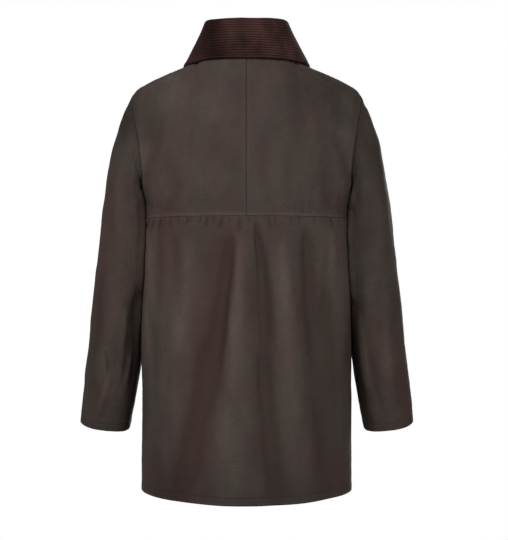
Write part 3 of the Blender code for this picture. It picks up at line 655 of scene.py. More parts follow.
def read(rows, column, key, at):
    """A column of a table at any positions of its key column."""
    return curve_through(rows[key], rows[column], at)


def unit(vectors):
    """The vectors at length 1."""
    return vectors / np.maximum(np.linalg.norm(vectors, axis=-1, keepdims=True), 1e-12)


def smoothstep(t):
    """0 up to 0, 1 from 1 on, and a soft rise between them."""
    t = np.clip(t, 0, 1)
    return t * t * (3 - 2 * t)


def signed_power(values, power):
    """The values to a power, each with its sign kept."""
    return np.sign(values) * np.abs(values) ** power


def bell(distance, width):
    """1 at no distance, falling off softly over a width."""
    return np.exp(-((distance / width) ** 2))


def run_along(points):
    """How far along a line each of its points lies, on average where it is a row of lines."""
    steps = np.linalg.norm(np.diff(points, axis=0), axis=-1)
    return np.concatenate([[0], np.cumsum(steps.reshape(len(steps), -1).mean(axis=1))])


def path_at(rows, fractions):
    """Points at fractions of the length of the smooth path through a table's x, y and z."""
    points = np.stack([rows["x"], rows["y"], rows["z"]], axis=1)
    knots = run_along(points)
    fine = curve_through(knots, points, np.linspace(0, knots[-1], PATH_SAMPLES))
    run = run_along(fine)
    at = np.asarray(fractions) * run[-1]
    return np.stack([np.interp(at, run, fine[:, k]) for k in range(3)], axis=1)


def fold_relief(folds, around, along):
    """How far the folds of a table move the cloth out, at positions round and along it."""
    relief = np.zeros(np.broadcast(around, along).shape)
    for top, foot, top_around, foot_around, half_width, depth in zip(*folds.values()):
        share = (along - top) / (foot - top)
        centre = top_around * (1 - share) + foot_around * share
        away = (around - centre + 2) % 4 - 2
        fade = smoothstep(share / FOLD_FADES[0]) * smoothstep((1 - share) / FOLD_FADES[1])
        relief += depth * fade * bell(away, half_width)
    return relief


def rounded_plan(turn, half_width, back, front, squareness):
    """Unit plan directions, and how far out a rounded rectangle lies along each."""
    direction = unit(np.stack([np.cos(turn), RING_FLATNESS * np.sin(turn)], axis=-1))
    depth = np.where(direction[..., 1] > 0, back, front)
    across = (np.abs(direction[..., 0]) / half_width) ** squareness
    through = (np.abs(direction[..., 1]) / depth) ** squareness
    return direction, (across + through) ** (-1 / squareness)


def ring(around, height):
    """Points of the body below the yoke seam, with its folds."""
    around, height = np.broadcast_arrays(np.asarray(around, float), height)
    names = ("half_width", "back", "front", "squareness")
    section = [read(SECTIONS, name, "height", height) for name in names]
    direction, radius = rounded_plan(around * math.pi / 2, *section)
    radius = radius + fold_relief(BODY_FOLDS, around, height)
    return np.concatenate([direction * radius[..., None], height[..., None]], axis=-1)


def hem_height(around):
    """The hem dips at the centre back and, less, at the centre front."""
    dip = np.where(np.sin(around * math.pi / 2) > 0, HEM_DIP_BACK, HEM_DIP_FRONT)
    return HEM_AT_SIDES - dip * np.abs(np.sin(around * math.pi / 2)) ** HEM_DIP_POWER


def seam_height(share):
    """The seam across the back dips towards the sides."""
    return YOKE_SEAM - SEAM_DIP * np.abs(share) ** SEAM_DIP_POWER


def neckline(around):
    """Points of the neck seam. It rises to the centre back and drops to the centre front."""
    turn = np.asarray(around, float) * math.pi / 2
    across = signed_power(np.cos(turn), 2 / NECK_SQUARENESS)
    depth = np.where(np.sin(turn) > 0, NECK_BACK, NECK_FRONT)
    through = signed_power(np.sin(turn), 2 / NECK_SQUARENESS)
    climb = np.where(np.sin(turn) > 0, NECK_BACK_RISE, -NECK_FRONT_DROP) * through**2
    return np.stack([NECK_HALF_WIDTH * across, depth * through, climb], axis=-1)


def graded(steps, parts, low=True, high=True):
    """Positions from 0 to a number of coarse steps, each in equal parts, closer at the ends."""
    even = np.arange(steps * parts + 1) / parts
    close = np.array(END_PARTS) / parts
    return np.unique(np.concatenate([even, close if low else [], steps - close if high else []]))


# Positions across a half panel, up from the yoke seam and up from the hem
SHARES = np.interp(
    graded(COARSE_COLUMNS, FINE_ACROSS), (0, NECK_COLUMNS, COARSE_COLUMNS), (0, NECK_SHARE, 1)
)
RISES = graded(ARMHOLE_ROWS + 1, FINE)
DROPS = np.union1d(graded(LOWER_ROWS, FINE_LOWER) / LOWER_ROWS, TURNED_ROWS / (YOKE_SEAM - HEM_AT_SIDES))
# The parts of a panel's edges that run along the shoulder and the armhole
ALONG_SHOULDER = slice(int((SHARES < NECK_SHARE).sum()), None)
ALONG_ARMHOLE = slice(int((RISES < 1).sum()), None)


def bridge(start, first, last, end, t):
    """Points at t from 0 to 1 along the curve with these two ends and two pulls."""
    return (1 - t) ** 3 * start + 3 * t * (1 - t) ** 2 * first + 3 * t**2 * (1 - t) * last + t**3 * end


def upper_panel(facing, shares, rises):
    """Grid of the left half of the back (facing +1) or front (-1) above the yoke seam."""
    runs, rows = (BACK_RUNS, ARMHOLE_BACK) if facing > 0 else (FRONT_RUNS, ARMHOLE_FRONT)
    foot = ring(1 - shares, seam_height(shares)) if facing > 0 else ring(3 + shares, YOKE_SEAM)
    along_neck = np.clip(shares / NECK_SHARE, 0, 1)
    neck = neckline(1 - along_neck if facing > 0 else 3 + along_neck)
    beyond = np.clip((shares - NECK_SHARE) / (1 - NECK_SHARE), 0, 1)
    seam = np.stack(
        [read(SHOULDER, "x", "share", beyond), 0 * beyond, read(SHOULDER, "z", "share", beyond)], axis=-1
    )
    top = np.where((shares <= NECK_SHARE)[:, None], neck, seam)
    rise, bulge, reach, sink = (read(runs, c, "share", shares) for c in ("rise", "bulge", "reach", "sink"))
    none = np.zeros_like(rise)
    first = foot + np.stack([none, facing * bulge, rise], axis=-1)
    last = top + np.stack([none, facing * reach, -sink], axis=-1)
    grid = bridge(foot, first, last, top, ((rises / rises[-1]) ** RUN_EASE)[:, None, None])
    start = foot[-1]
    arm = path_at(rows, np.clip((rises - 1) / ARMHOLE_ROWS, 0, 1))
    below = np.clip(rises, 0, 1)[:, None]
    side = np.where((rises < 1)[:, None], start + (arm[0] - start) * below, arm)
    pull = (np.clip((shares - PULL_FROM) / (1 - PULL_FROM), 0, 1) ** PULL_EASE)[None, :, None]
    return eased(grid + pull * (side - grid[:, -1])[:, None], shares, rises)


def eased(grid, shares, rises):
    """The panel with the ridge below the neck corner smoothed away, its edges left as they are."""
    if len(shares) < COARSE_COLUMNS * 2:
        return grid
    near = bell(shares[:, None] - shares[None], EASE_REACH)
    near *= np.gradient(shares)[None]
    smooth = np.einsum("ij,rjk->rik", near / near.sum(axis=1, keepdims=True), grid)
    high = 1 - smoothstep((rises / rises[-1] - EASE_TOP) / (1 - EASE_TOP))
    low = smoothstep(rises / rises[-1] / EASE_FOOT)
    beside = bell(shares - NECK_SHARE, EASE_WIDTH)
    return grid + ((high * low)[:, None] * beside[None])[..., None] * (smooth - grid)


def lower_panel(around, drops, head=YOKE_SEAM):
    """Grid of a panel from the hem up to a height."""
    share = drops[:, None]
    height = hem_height(around) * (1 - share) + head * share
    return ring(np.broadcast_to(around, height.shape), height)


def mirrored(grid, side):
    """The grid as it is for side 1, and its mirror image for side -1."""
    return grid * np.array([side, 1.0, 1.0])


def grid_normals(grid, closed=False):
    """Unit normals of a grid, turned to look away from the upright line inside it."""
    down = np.gradient(grid, axis=0)
    if closed:
        wrapped = np.concatenate([grid[:, -1:], grid, grid[:, :1]], axis=1)
        across = np.gradient(wrapped, axis=1)[:, 1:-1]
        middle = grid[..., :2].mean(axis=(0, 1))
    else:
        across = np.gradient(grid, axis=1)
        middle = np.zeros(2)
    normals = unit(np.cross(down, across))
    return normals * np.sign(((grid[..., :2] - middle) * normals[..., :2]).sum())


def body_grids():
    """Grids of the five body panels."""
    around = np.concatenate([1 - SHARES[::-1], 1 + SHARES[1:]])
    grids = {"back_lower": lower_panel(around, DROPS, seam_height(around - 1))}
    for word, side in SIDES.items():
        grids[f"back_yoke_{word}"] = mirrored(upper_panel(1, SHARES, RISES), side)
        lower = lower_panel(3 + side * SHARES, DROPS)
        grids[f"front_{word}"] = np.concatenate([lower[:-1], mirrored(upper_panel(-1, SHARES, RISES), side)])
    return grids


def shared_normals(grids):
    """Outward normals of the panels, averaged where panels meet."""
    own = {name: grid_normals(grid) for name, grid in grids.items()}
    places, points, normals = [], [], []
    for name, grid in grids.items():
        edge = np.zeros(grid.shape[:2], bool)
        edge[[0, -1]] = edge[:, [0, -1]] = True
        if len(grid) > len(DROPS):
            edge[len(DROPS) - 1] = True
        for i, j in zip(*np.nonzero(edge)):
            places.append((name, i, j))
            points.append(grid[i, j])
            normals.append(own[name][i, j])
    points, normals = np.array(points), np.array(normals)
    order = np.argsort(points[:, 2])
    height = points[order, 2]
    for k, spot in enumerate(places):
        low, high = np.searchsorted(height, points[k, 2] + np.array([-SEAM_MATCH, SEAM_MATCH]))
        near = order[low:high]
        near = near[np.linalg.norm(points[near] - points[k], axis=1) < SEAM_MATCH]
        name, i, j = spot
        own[name][i, j] = unit(normals[near].sum(axis=0))
    return own


@cache
def body():
    """Grids and normals of the body's panels."""
    grids = body_grids()
    return grids, shared_normals(grids)


def drawn_in(grid, normals, panel):
    """The panel's grid with its sewn edges drawn in by half of a seam's gap, within the cloth."""
    drawn = grid.copy()
    for name, kind in EDGES[panel].items():
        if kind in FREE_EDGES:
            continue
        edge, beside = EDGE_LINES[name]
        away = unit(np.cross(np.gradient(grid[edge], axis=0), normals[edge]))
        away *= np.sign((away * (grid[beside] - grid[edge])).sum(axis=1, keepdims=True))
        drawn[edge] += away * SEAM_GAP / 2
    return drawn


def sleeve_section(down, turn):
    """Points of the left sleeve below the upper arm, at distances down it and turns round it."""
    down, turn = np.broadcast_arrays(np.asarray(down, float), turn)
    names = ("height", "inner", "outer", "centre_y", "half_depth", "tilt", "pitch")
    height, inner, outer, centre_y, half_depth, tilt, pitch = (
        read(SLEEVE_SECTIONS, name, "down", down) for name in names
    )
    power = 2 / (SLEEVE_SQUARENESS + INNER_FLATNESS * ((1 - np.cos(turn)) / 2) ** 2)
    across = signed_power(np.cos(turn), power)
    through = signed_power(np.sin(turn), power)
    relief = fold_relief(SLEEVE_FOLDS, turn / (math.pi / 2), down)
    x = (inner + outer) / 2 + ((outer - inner) / 2 + relief) * across
    y = centre_y + (half_depth + relief) * through
    z = height + across * tilt / 2 + through * pitch / 2
    return np.stack([x, y, z], axis=-1)


def ring_smoothed(grid):
    """The closed grid, each row smoothed round itself."""
    reach = 2 * FINE
    shifts = range(-reach, reach + 1)
    weights = bell(np.arange(-reach, reach + 1), FINE)
    return sum(w * np.roll(grid, k, axis=1) for k, w in zip(shifts, weights / weights.sum()))


@cache
def sleeve():
    """Left sleeve: the seam ring, the cap and the tube, with normals and turns round it."""
    grids, normals = body()
    reach = (RISES[RISES >= 1] - 1) / ARMHOLE_ROWS
    count = len(reach)

    def joined(arrays):
        """Values along the armhole, down the back and up the front."""
        back = arrays["back_yoke_left"][-count:, -1][::-1]
        return np.concatenate([back, arrays["front_left"][-count + 1:-1, -1]])

    points, out = joined(grids), joined(normals)
    turn = math.pi * np.concatenate([1 - reach[::-1], 1 + reach[1:-1]])
    tangent = unit(np.roll(points, -FINE, axis=0) - np.roll(points, FINE, axis=0))
    lean = unit(sum(np.roll(out, k, axis=0) for k in range(-FINE, FINE + 1)))
    into = unit(np.cross(tangent, lean))
    into *= np.sign(((points.mean(axis=0) - points) * into).sum(axis=1, keepdims=True))
    under = ((1 - np.cos(turn)) / 2)[:, None]
    seam = points + into * SEAM_GAP / 2
    start = seam + into * SLEEVE_SETBACK
    arm = sleeve_section(0.0, turn)
    fall = unit(sleeve_section(CAP_FALL, turn) - arm)
    leave = unit(into + lean * CAP_LEAN * under)
    first = start + leave * (CAP_START["top"] * (1 - under) + CAP_START["under"] * under)
    last = arm - fall * (CAP_END["top"] * (1 - under) + CAP_END["under"] * under)
    steps = len(SLEEVE_CAP_STEPS) - 1
    t = np.interp(np.arange(steps * FINE_DOWN + 1) / FINE_DOWN, np.arange(steps + 1), SLEEVE_CAP_STEPS)
    cap = bridge(start, first, last, arm, t[:, None, None])
    down = graded(SLEEVE_ROWS, FINE_DOWN, low=False)[1:] / SLEEVE_ROWS * SLEEVE_LENGTH_BELOW
    down = np.union1d(down, SLEEVE_LENGTH_BELOW - TURNED_ROWS)[:, None]
    grid = np.concatenate([seam[None], cap, sleeve_section(down, turn[None])])
    from_head = np.minimum(turn, 2 * math.pi - turn)[None]
    t = np.concatenate([[0], t, np.ones(len(down))])[:, None]
    share = smoothstep(t / HEAD_FROM) * bell(from_head, HEAD_WIDTH)
    share = share * (1 - smoothstep((t - HEAD_UNTIL) / (1 - HEAD_UNTIL)))
    grid = grid + share[..., None] * (ring_smoothed(grid) - grid)
    away = grid_normals(grid, closed=True)
    away[0] = out
    return grid, away, turn


def distances(grid, closed):
    """How far each point of a grid lies from each of its edges, within the cloth."""
    up = np.cumsum(np.linalg.norm(np.diff(grid, axis=0, prepend=grid[:1]), axis=2), axis=0)
    along = np.cumsum(np.linalg.norm(np.diff(grid, axis=1, prepend=grid[:, :1]), axis=2), axis=1)
    found = {"foot": up, "top": up[-1:] - up, "along": along}
    if not closed:
        found.update(left=along, right=along[:, -1:] - along)
    return found


def crease_relief(creases, x, z):
    """How far a table of creases moves the cloth out."""
    relief = np.zeros(x.shape)
    for values in zip(*creases.values()):
        crease = dict(zip(creases, values))
        start = np.array([crease["x0"], crease["z0"]])
        way = np.array([crease["x1"], crease["z1"]]) - start
        length = np.linalg.norm(way)
        way /= length
        t = ((x - start[0]) * way[0] + (z - start[1]) * way[1]) / length
        beside = (z - start[1]) * way[0] - (x - start[0]) * way[1] - crease["bow"] * 4 * t * (1 - t)
        width = crease["start_width"] + (crease["end_width"] - crease["start_width"]) * t
        if "skew" in crease:
            width = width * (1 - crease["skew"] * np.tanh(beside / width))
        across = (beside / np.clip(width, 0.001, None)) ** 2
        fade = smoothstep(t / CREASE_FADES[0]) * smoothstep((1 - t) / CREASE_FADES[1])
        relief += crease["depth"] * fade * np.exp(-across) * (1 - CREASE_SHOULDER * across)
    return relief


def ripple(along, pitch, seed):
    """An uneven soft wave along an edge, from -1 to 1."""
    rng = np.random.default_rng(seed)
    knots = np.cumsum(rng.uniform(*PUCKER_SPREAD, int(LONGEST_EDGE / pitch) + 4)) * pitch / 2 - pitch
    return curve_through(knots, rng.uniform(-1, 1, len(knots)), along)


def cockle(points, size, seed, upright=1.0):
    """Soft uneven waves of about a size, longer up the cloth where upright is under 1."""
    rng = np.random.default_rng(seed)
    total = np.zeros(points.shape[:-1])
    for _ in range(COCKLE_WAVES):
        way = unit(rng.normal(size=3)) * np.array([1.0, 1.0, upright])
        length = size * rng.uniform(*COCKLE_SPREAD)
        total += np.sin(points @ way * 2 * math.pi / length + rng.uniform(0, 7))
    return total / math.sqrt(COCKLE_WAVES / 2)


def soft_waves(points, waves, seed):
    """Relief of soft waves, each with its height, size and upright share."""
    return sum(
        height * cockle(points, size, seed + k, upright) for k, (height, size, upright) in enumerate(waves)
    )


def edge_relief(panel, apart, seed):
    """How the seams, turned edges and sewing shape the cloth near a panel's edges."""
    relief = np.zeros(apart["foot"].shape)
    for count, (edge, kind) in enumerate(EDGES[panel].items()):
        rise, reach, roll, pucker, _ = EDGE_KINDS[kind]
        away = apart[edge]
        along = apart["along"] if edge in ("foot", "top") else apart["foot"]
        relief += rise * (1 - smoothstep((away - 0.7 * reach) / (0.6 * reach)))
        relief -= roll * bell(away, ROLL_WIDTH)
        drawn = ripple(along, PUCKER_PITCH, seed + count)
        relief += pucker * drawn * np.exp(-((away - 0.5 * reach) / (1.1 * reach)) ** 2)
    return relief


def edge_rub(panel, apart):
    """How strongly the raised edges of a panel are rubbed."""
    edges = EDGES[panel].items()
    rubbed = [EDGE_KINDS[kind][-1] * bell(apart[edge] - RUB_AT, RUB_WIDTH) for edge, kind in edges]
    return np.max(rubbed, axis=0)


def from_turned_edge(panel, apart):
    """How far each point lies from the panel's hem or cuff, and 1 where it has none."""
    turned = [apart[edge] for edge, kind in EDGES[panel].items() if kind in TURNED_EDGES]
    return turned[0] if turned else np.ones(apart["foot"].shape)


def sewn_groove(panel, apart):
    """How far the line of stitches that holds a turned edge draws the cloth in, from 0 to 1."""
    line = CUFF_STITCHES if panel == "sleeve" else HEM_STITCHES
    return bell(from_turned_edge(panel, apart) - line, GROOVE_WIDTH)


def seam_distance(panel, apart):
    """How far each point lies from the nearest sewn edge."""
    return np.min([apart[edge] for edge in EDGES[panel]], axis=0)


def seam_mark(distance):
    """The mark the finish reads for the painted shadow line beside seams, from 0 at the seam to 1 far from
    it.
    """
    return np.clip(distance, 0, SEAM_REACH) / SEAM_REACH


def grid_corners(rows, columns, closed):
    """Corners of a grid's faces as rows and columns. The last column may be the first again."""
    wide = columns if closed else columns - 1
    i, j = (a.ravel() for a in np.meshgrid(np.arange(rows - 1), np.arange(wide), indexing="ij"))
    corners = (i, j), (i + 1, j), (i + 1, j + 1), (i, j + 1)
    return np.stack([np.stack(corner) for corner in corners], 2)


def rim_paths(rows, columns, closed):
    """The edge paths of a grid, each a list of rows and columns in order."""
    if closed:
        there = np.arange(columns + 1)
        return [
            np.stack([0 * there, there]),
            np.stack([0 * there + rows - 1, there[::-1]]),
        ]
    across, up = np.arange(columns), np.arange(rows)
    legs = (
        (0 * across[:-1], across[:-1]),
        (up[:-1], 0 * up[:-1] + columns - 1),
        (0 * across[1:] + rows - 1, across[:0:-1]),
        (up[::-1], 0 * up),
    )
    return [np.concatenate([np.stack(leg) for leg in legs], axis=1)]


def cloth_shell(name, outer, inner, bulge, marks, uv, closed=False):
    """A closed wall of four-sided faces between two like grids, with a rounded rim.

    Bulge is how far the rim stands out at each point. Marks are named values for the finish,
    and uv holds the cloth's own measures, with one more column where the grid is closed.
    """
    rows, columns = outer.shape[:2]
    size = rows * columns
    middle = (outer + inner) / 2
    corners = grid_corners(rows, columns, closed)
    ids = corners[0] * columns + corners[1] % columns
    faces = [ids, (ids + size)[:, ::-1]]
    own = uv[corners[0], corners[1]]
    corner_uv = [own, own[:, ::-1]]
    points = [outer.reshape(-1, 3), inner.reshape(-1, 3)]
    values = {key: [given.ravel(), given.ravel()] for key, given in marks.items()}
    first = 2 * size
    for path in rim_paths(rows, columns, closed):
        i, j = path[:, :-1]
        here = i * columns + j % columns
        inside = np.clip(i, 1, rows - 2), (j % columns if closed else np.clip(j, 1, columns - 2))
        away = unit(middle[i, j % columns] - middle[inside])
        points.append(middle[i, j % columns] + away * bulge[i, j % columns][:, None])
        rim = first + np.arange(len(here))
        first += len(here)
        after, rim_after = np.roll(here, -1), np.roll(rim, -1)
        faces.append(np.stack([here, after, rim_after, rim], axis=1))
        faces.append(np.stack([rim, rim_after, after + size, here + size], axis=1))
        edge_uv = uv[path[0], path[1]]
        quad = np.stack([edge_uv[:-1], edge_uv[1:], edge_uv[1:], edge_uv[:-1]], axis=1)
        corner_uv += [quad, quad]
        for key, given in marks.items():
            values[key].append(given[i, j % columns])
    points, faces, corner_uv = (np.concatenate(part) for part in (points, faces, corner_uv))
    values = {key: np.concatenate(parts) for key, parts in values.items()}
    return grid_mesh(name, points, faces, corner_uv, values)


def grid_mesh(name, points, faces, uv, values):
    """A mesh of four-sided faces that look outwards, with its measures and marks."""
    a, b, c, d = (points[faces[:, k]] for k in range(4))
    volume = (a * np.cross(b, c) + a * np.cross(c, d)).sum()
    if volume < 0:
        faces, uv = faces[:, ::-1], uv[:, ::-1]
    mesh = bpy.data.meshes.new(name)
    mesh.from_pydata(points.tolist(), [], faces.tolist())
    layer = mesh.uv_layers.new(name="cloth")
    layer.data.foreach_set("uv", uv.reshape(-1).astype(np.float32))
    for key, value in values.items():
        mesh.attributes.new(key, "FLOAT", "POINT").data.foreach_set("value", value.astype(np.float32))
    mesh.shade_smooth()
    mesh.set_sharp_from_angle(angle=SMOOTH_ANGLE)
    return mesh


def measures(apart, closed=False):
    """The cloth's own measures at each point, with one more column where the grid is closed."""
    along, up = apart["along"], apart["foot"]
    if closed:
        along = np.concatenate([along, 2 * along[:, -1:] - along[:, -2:-1]], axis=1)
        up = np.concatenate([up, up[:, :1]], axis=1)
    return np.stack([along, up], axis=2)


def linked(name, data):
    """A new object in the scene's own collection."""
    made = bpy.data.objects.new(name, data)
    bpy.context.scene.collection.objects.link(made)
    return made


def add_piece(name, mesh, slot, replaces=None):
    """A piece in the finish of its slot, which may stand for a solid."""
    made = linked(name, mesh)
    mesh.materials.clear()
    mesh.materials.append(FINISHES[slot]())
    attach(made, "jacket")
    if replaces:
        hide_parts(replaces)


def position_round(points):
    """Position round the body in quarter turns."""
    return np.arctan2(points[..., 1] / RING_FLATNESS, points[..., 0]) / (math.pi / 2) % 4


def patchy(patches, points):
    """How far a table of soft patches on the back covers each point, from -1 to 1."""
    total = np.zeros(points.shape[:-1])
    for x, z, wide, tall, share in zip(*patches.values()):
        total += share * bell(points[..., 0] - x, wide) * bell(points[..., 2] - z, tall)
    return np.clip(total, -1, 1) * smoothstep((points[..., 1] - PATCH_SIDE) / PATCH_FADE)


def panel_marks(panel, points, relief, apart):
    """The marks the finish reads: folds, seams, rubbed edges, painted shade and light, and reddened dye."""
    painted_shading = HEM_SHADE * np.exp(-from_turned_edge(panel, apart) / HEM_SHADE_REACH)
    return {
        "warm": patchy(WARM_PATCHES, points),
        "crease": relief / CREASE_SCALE,
        "seam": seam_mark(seam_distance(panel, apart)),
        "rub": edge_rub(panel, apart),
        "painted_shading": np.clip(painted_shading + patchy(PAINTED_SHADING_PATCHES, points), -1, 1),
    }


def opened(grid):
    """A front with its centre edge moved back to leave the zip bare."""
    first = int(np.searchsorted(graded(COARSE_COLUMNS, FINE_ACROSS), 1.0))
    grid = grid.copy()
    across = np.abs(grid[:, :first, 0])
    end = np.abs(grid[:, first:first + 1, 0])
    side = np.sign(grid[0, -1, 0])
    grid[:, :first, 0] = side * (FRONT_EDGE + across * (end - FRONT_EDGE) / end)
    return grid


def sewn_cloth(name, panel, mid, away, apart, marks, closed=False):
    """The shell of a panel or sleeve round the middle of its cloth, turned in at a hem or cuff."""
    turned = HEM_ALLOWANCE * (1 - smoothstep((from_turned_edge(panel, apart) - HEM_TURN) / HEM_STEP))
    free = np.zeros(turned.shape)
    for edge, kind in EDGES[panel].items():
        if kind in FREE_EDGES:
            free[EDGE_LINES[edge][0]] = 1
    outer = mid + away * CLOTH / 2
    inner = mid - away * (CLOTH / 2 + turned)[..., None]
    dressed[name] = outer, away, apart
    bulge = free * RIM_BULGE * (CLOTH + turned)
    return cloth_shell(name, outer, inner, bulge, marks, measures(apart, closed), closed)


def dress_panel(name, creases, seed):
    """Makes the shell of a body panel: its form, creases, seams and soft unevenness."""
    grids, normals = body()
    mid, away = drawn_in(grids[name], normals[name], name), normals[name]
    if name.startswith("front"):
        mid = opened(mid)
    apart = distances(mid, False)
    soft = smoothstep(seam_distance(name, apart) / SOFT_REACH)
    relief = crease_relief(creases, mid[..., 0], mid[..., 2]) + soft_waves(mid, PANEL_WAVES, seed) * soft
    relief *= bpy.context.scene.jacket_cloth.fold_strength
    groove = sewn_groove(name, apart)
    # The body's folds and the sewn groove join the creases in the mark painted as shade in troughs
    folds = relief + FOLD_MARK * fold_relief(BODY_FOLDS, position_round(mid), mid[..., 2])
    marks = panel_marks(name, mid, folds - GROOVE_MARK * groove, apart)
    relief += edge_relief(name, apart, seed + len(PANEL_WAVES)) - GROOVE_DEPTH * groove
    return sewn_cloth(name, name, mid + away * relief[..., None], away, apart, marks)


def dress_sleeve(name, side, creases, seed):
    """Makes the shell of a sleeve, a closed tube from the armhole to the cuff."""
    grid, away, turn = sleeve()
    mid, away = mirrored(grid, side), mirrored(away, side)
    apart = distances(mid, True)
    turns = np.broadcast_to(turn, mid.shape[:2])
    around = turns / (math.pi / 2) * QUARTER
    soft = smoothstep(seam_distance("sleeve", apart) / SOFT_REACH)
    relief = sum(crease_relief(creases, around + shift * 4 * QUARTER, mid[..., 2]) for shift in (-1, 0, 1))
    relief += soft_waves(mid, SLEEVE_WAVES, seed) * soft
    relief *= bpy.context.scene.jacket_cloth.fold_strength
    # A band of painted shade beside the armhole, and painted shade in the sewn groove by the cuff
    shade = bell(apart["foot"], HEAD_SHADE[side])
    shade = shade * (1 - smoothstep((mid[..., 2] - HEAD_DARK_TOP) / HEAD_DARK_FADE))
    groove = sewn_groove("sleeve", apart)
    folds = relief - HEAD_DARK * CREASE_SCALE * shade - GROOVE_MARK * groove
    drawn = HEAD_PUCKER + (1 - HEAD_PUCKER) * smoothstep((HEAD_CALM - np.cos(turns)) / HEAD_CALM_FADE)
    relief += edge_relief("sleeve", apart, seed + len(SLEEVE_WAVES)) * drawn
    relief *= smoothstep(apart["foot"] / STILL_REACH) * (1 - STILL_SHARE) + STILL_SHARE
    relief -= GROOVE_DEPTH * groove
    mid, away = resting(mid + away * relief[..., None], away, turn)
    marks = panel_marks("sleeve", mid, folds, apart)
    return sewn_cloth(name, "sleeve", mid, away, apart, marks, closed=True)


def resting(mid, away, turn):
    """The sleeve's cloth where it lies against the body, just clear of it, with its normals."""
    tree = dressed_body()
    low = CLOTH / 2 + REST_CLEAR
    rested = mid.copy()
    for i in range(REST_ROW, mid.shape[0]):
        for j in np.nonzero(np.cos(turn) < REST_FROM)[0]:
            found, normal, _, _ = tree.find_nearest(Vector(mid[i, j]), REST_REACH)
            if found is None or mid[i, j, 2] > REST_HEAD:
                continue
            height = (Vector(mid[i, j]) - found).dot(normal)
            nearer = float(smoothstep((REST_REACH - height) / (0.6 * REST_REACH)))
            nearer *= float(smoothstep((mid[i, j, 2] - REST_FOOT) / REST_FADE))
            nearer *= float(smoothstep((REST_HEAD - mid[i, j, 2]) / (REST_FADE / 2)))
            wanted = height + (low - height) * nearer if height > low else low
            rested[i, j] += np.array(normal) * (wanted - height)
    normals = grid_normals(rested, closed=True)
    normals[:REST_ROW] = away[:REST_ROW]
    return rested, normals


def surface_tree(panels, step):
    """A search tree over every few points of some grids, with its faces looking out."""
    points, faces = [], []
    for grid, normals in panels:
        grid, normals = grid[::step, ::step], normals[::step, ::step]
        rows, columns = grid.shape[:2]
        across = np.cross(grid[1:, 1:] - grid[:-1, 1:], grid[1:, 1:] - grid[1:, :-1])
        turned = (across * normals[1:, 1:]).sum() < 0
        corners = grid_corners(rows, columns, False)
        ids = len(points) + corners[0] * columns + corners[1]
        faces += (ids[:, ::-1] if turned else ids).tolist()
        points += grid.reshape(-1, 3).tolist()
    return BVHTree.FromPolygons(points, faces)


@cache
def dressed_body():
    """A search tree over the outer faces of the body's shells."""
    return surface_tree([dressed[name][:2] for name in body()[0]], 2)


def seated(point, jacket, clearance):
    """The point, moved out along the jacket's surface normal until it clears the cloth."""
    found, normal, _, distance = jacket.find_nearest(Vector(point))
    height = (Vector(point) - found).dot(normal)
    beside = abs(height) < SEAT_SLANT * distance and distance > clearance
    if height < clearance and not beside:
        return np.array(found + normal * clearance)
    return point


def collar_section(neck, axis, edge, bow, lift, out):
    """Middle line of the collar wall at one column: up the stand, over the fold, down the fall."""
    inner_top = axis - out * FOLD_RADIUS
    outer_top = axis + out * FOLD_RADIUS
    foot = neck + unit(inner_top - neck) * lift
    stand = [foot + (inner_top - foot) * k / STAND_STEPS for k in range(STAND_STEPS)]
    up = np.array([0.0, 0.0, 1.0])
    angles = [math.pi * (1 - k / FOLD_STEPS) for k in range(FOLD_STEPS)]
    fold = [axis + (out * math.cos(a) + up * math.sin(a)) * FOLD_RADIUS for a in angles]
    down = unit(edge - outer_top)
    swell = unit(out - down * np.dot(out, down)) * bow
    shares = np.linspace(0, 1, 2 * WALES + 1)
    fall = [outer_top + (edge - outer_top) * u + swell * 4 * u * (1 - u) for u in shares]
    return np.array(stand + fold + fall)


def collar_form():
    """Middle of the collar's wall as in the solids: rows up the stand, over the fold and down."""
    even = np.linspace(-1, 1, COLLAR_COLUMNS + 1)
    along = (1 + COLUMN_SPREAD) * even - COLUMN_SPREAD * even**3
    around = 1 - 2 * COLLAR_END * along
    neck = neckline(around)
    direction, radius = rounded_plan(
        around * math.pi / 2, FOLD_HALF_WIDTH, FOLD_BACK, FOLD_FRONT, FOLD_SQUARENESS
    )
    lines = {name: read(COLLAR_LINES, name, "along", np.abs(along)) for name in COLLAR_LINES}
    axis = np.concatenate([direction * radius[:, None], (lines["fold_z"] - FOLD_RADIUS)[:, None]], axis=1)
    edge = np.stack([np.sign(along) * lines["edge_x"], lines["edge_y"], lines["edge_z"]], axis=1)
    plan = np.array([1 / FOLD_HALF_WIDTH**2, 1 / FOLD_BACK**2])
    out = np.concatenate([unit(direction * plan), np.zeros((len(direction), 1))], axis=1)
    grids, normals = body()
    jacket = surface_tree([(grids[name], normals[name]) for name in grids], 3)
    for _ in range(EDGE_SMOOTHING):
        edge = np.array([seated(point, jacket, COLLAR_SEAT) for point in edge])
        edge[1:-1] = (edge[:-2] + 2 * edge[1:-1] + edge[2:]) / 4
    edge = np.array([seated(point, jacket, COLLAR_SEAT) for point in edge])
    columns = zip(neck, axis, edge, lines["bow"], lines["lift"], out)
    form = np.stack([collar_section(*column) for column in columns], axis=1)
    for row in form[STAND_STEPS + FOLD_STEPS:]:
        row[:] = [seated(point, jacket, COLLAR_SEAT) for point in row]
    return form, out


def wale_height(wale):
    """Height of the pile over a wale, from 0 in the groove to 1 on its crown."""
    return 1 - np.abs(2 * (wale % 1.0) - 1) ** WALE_SQUARENESS


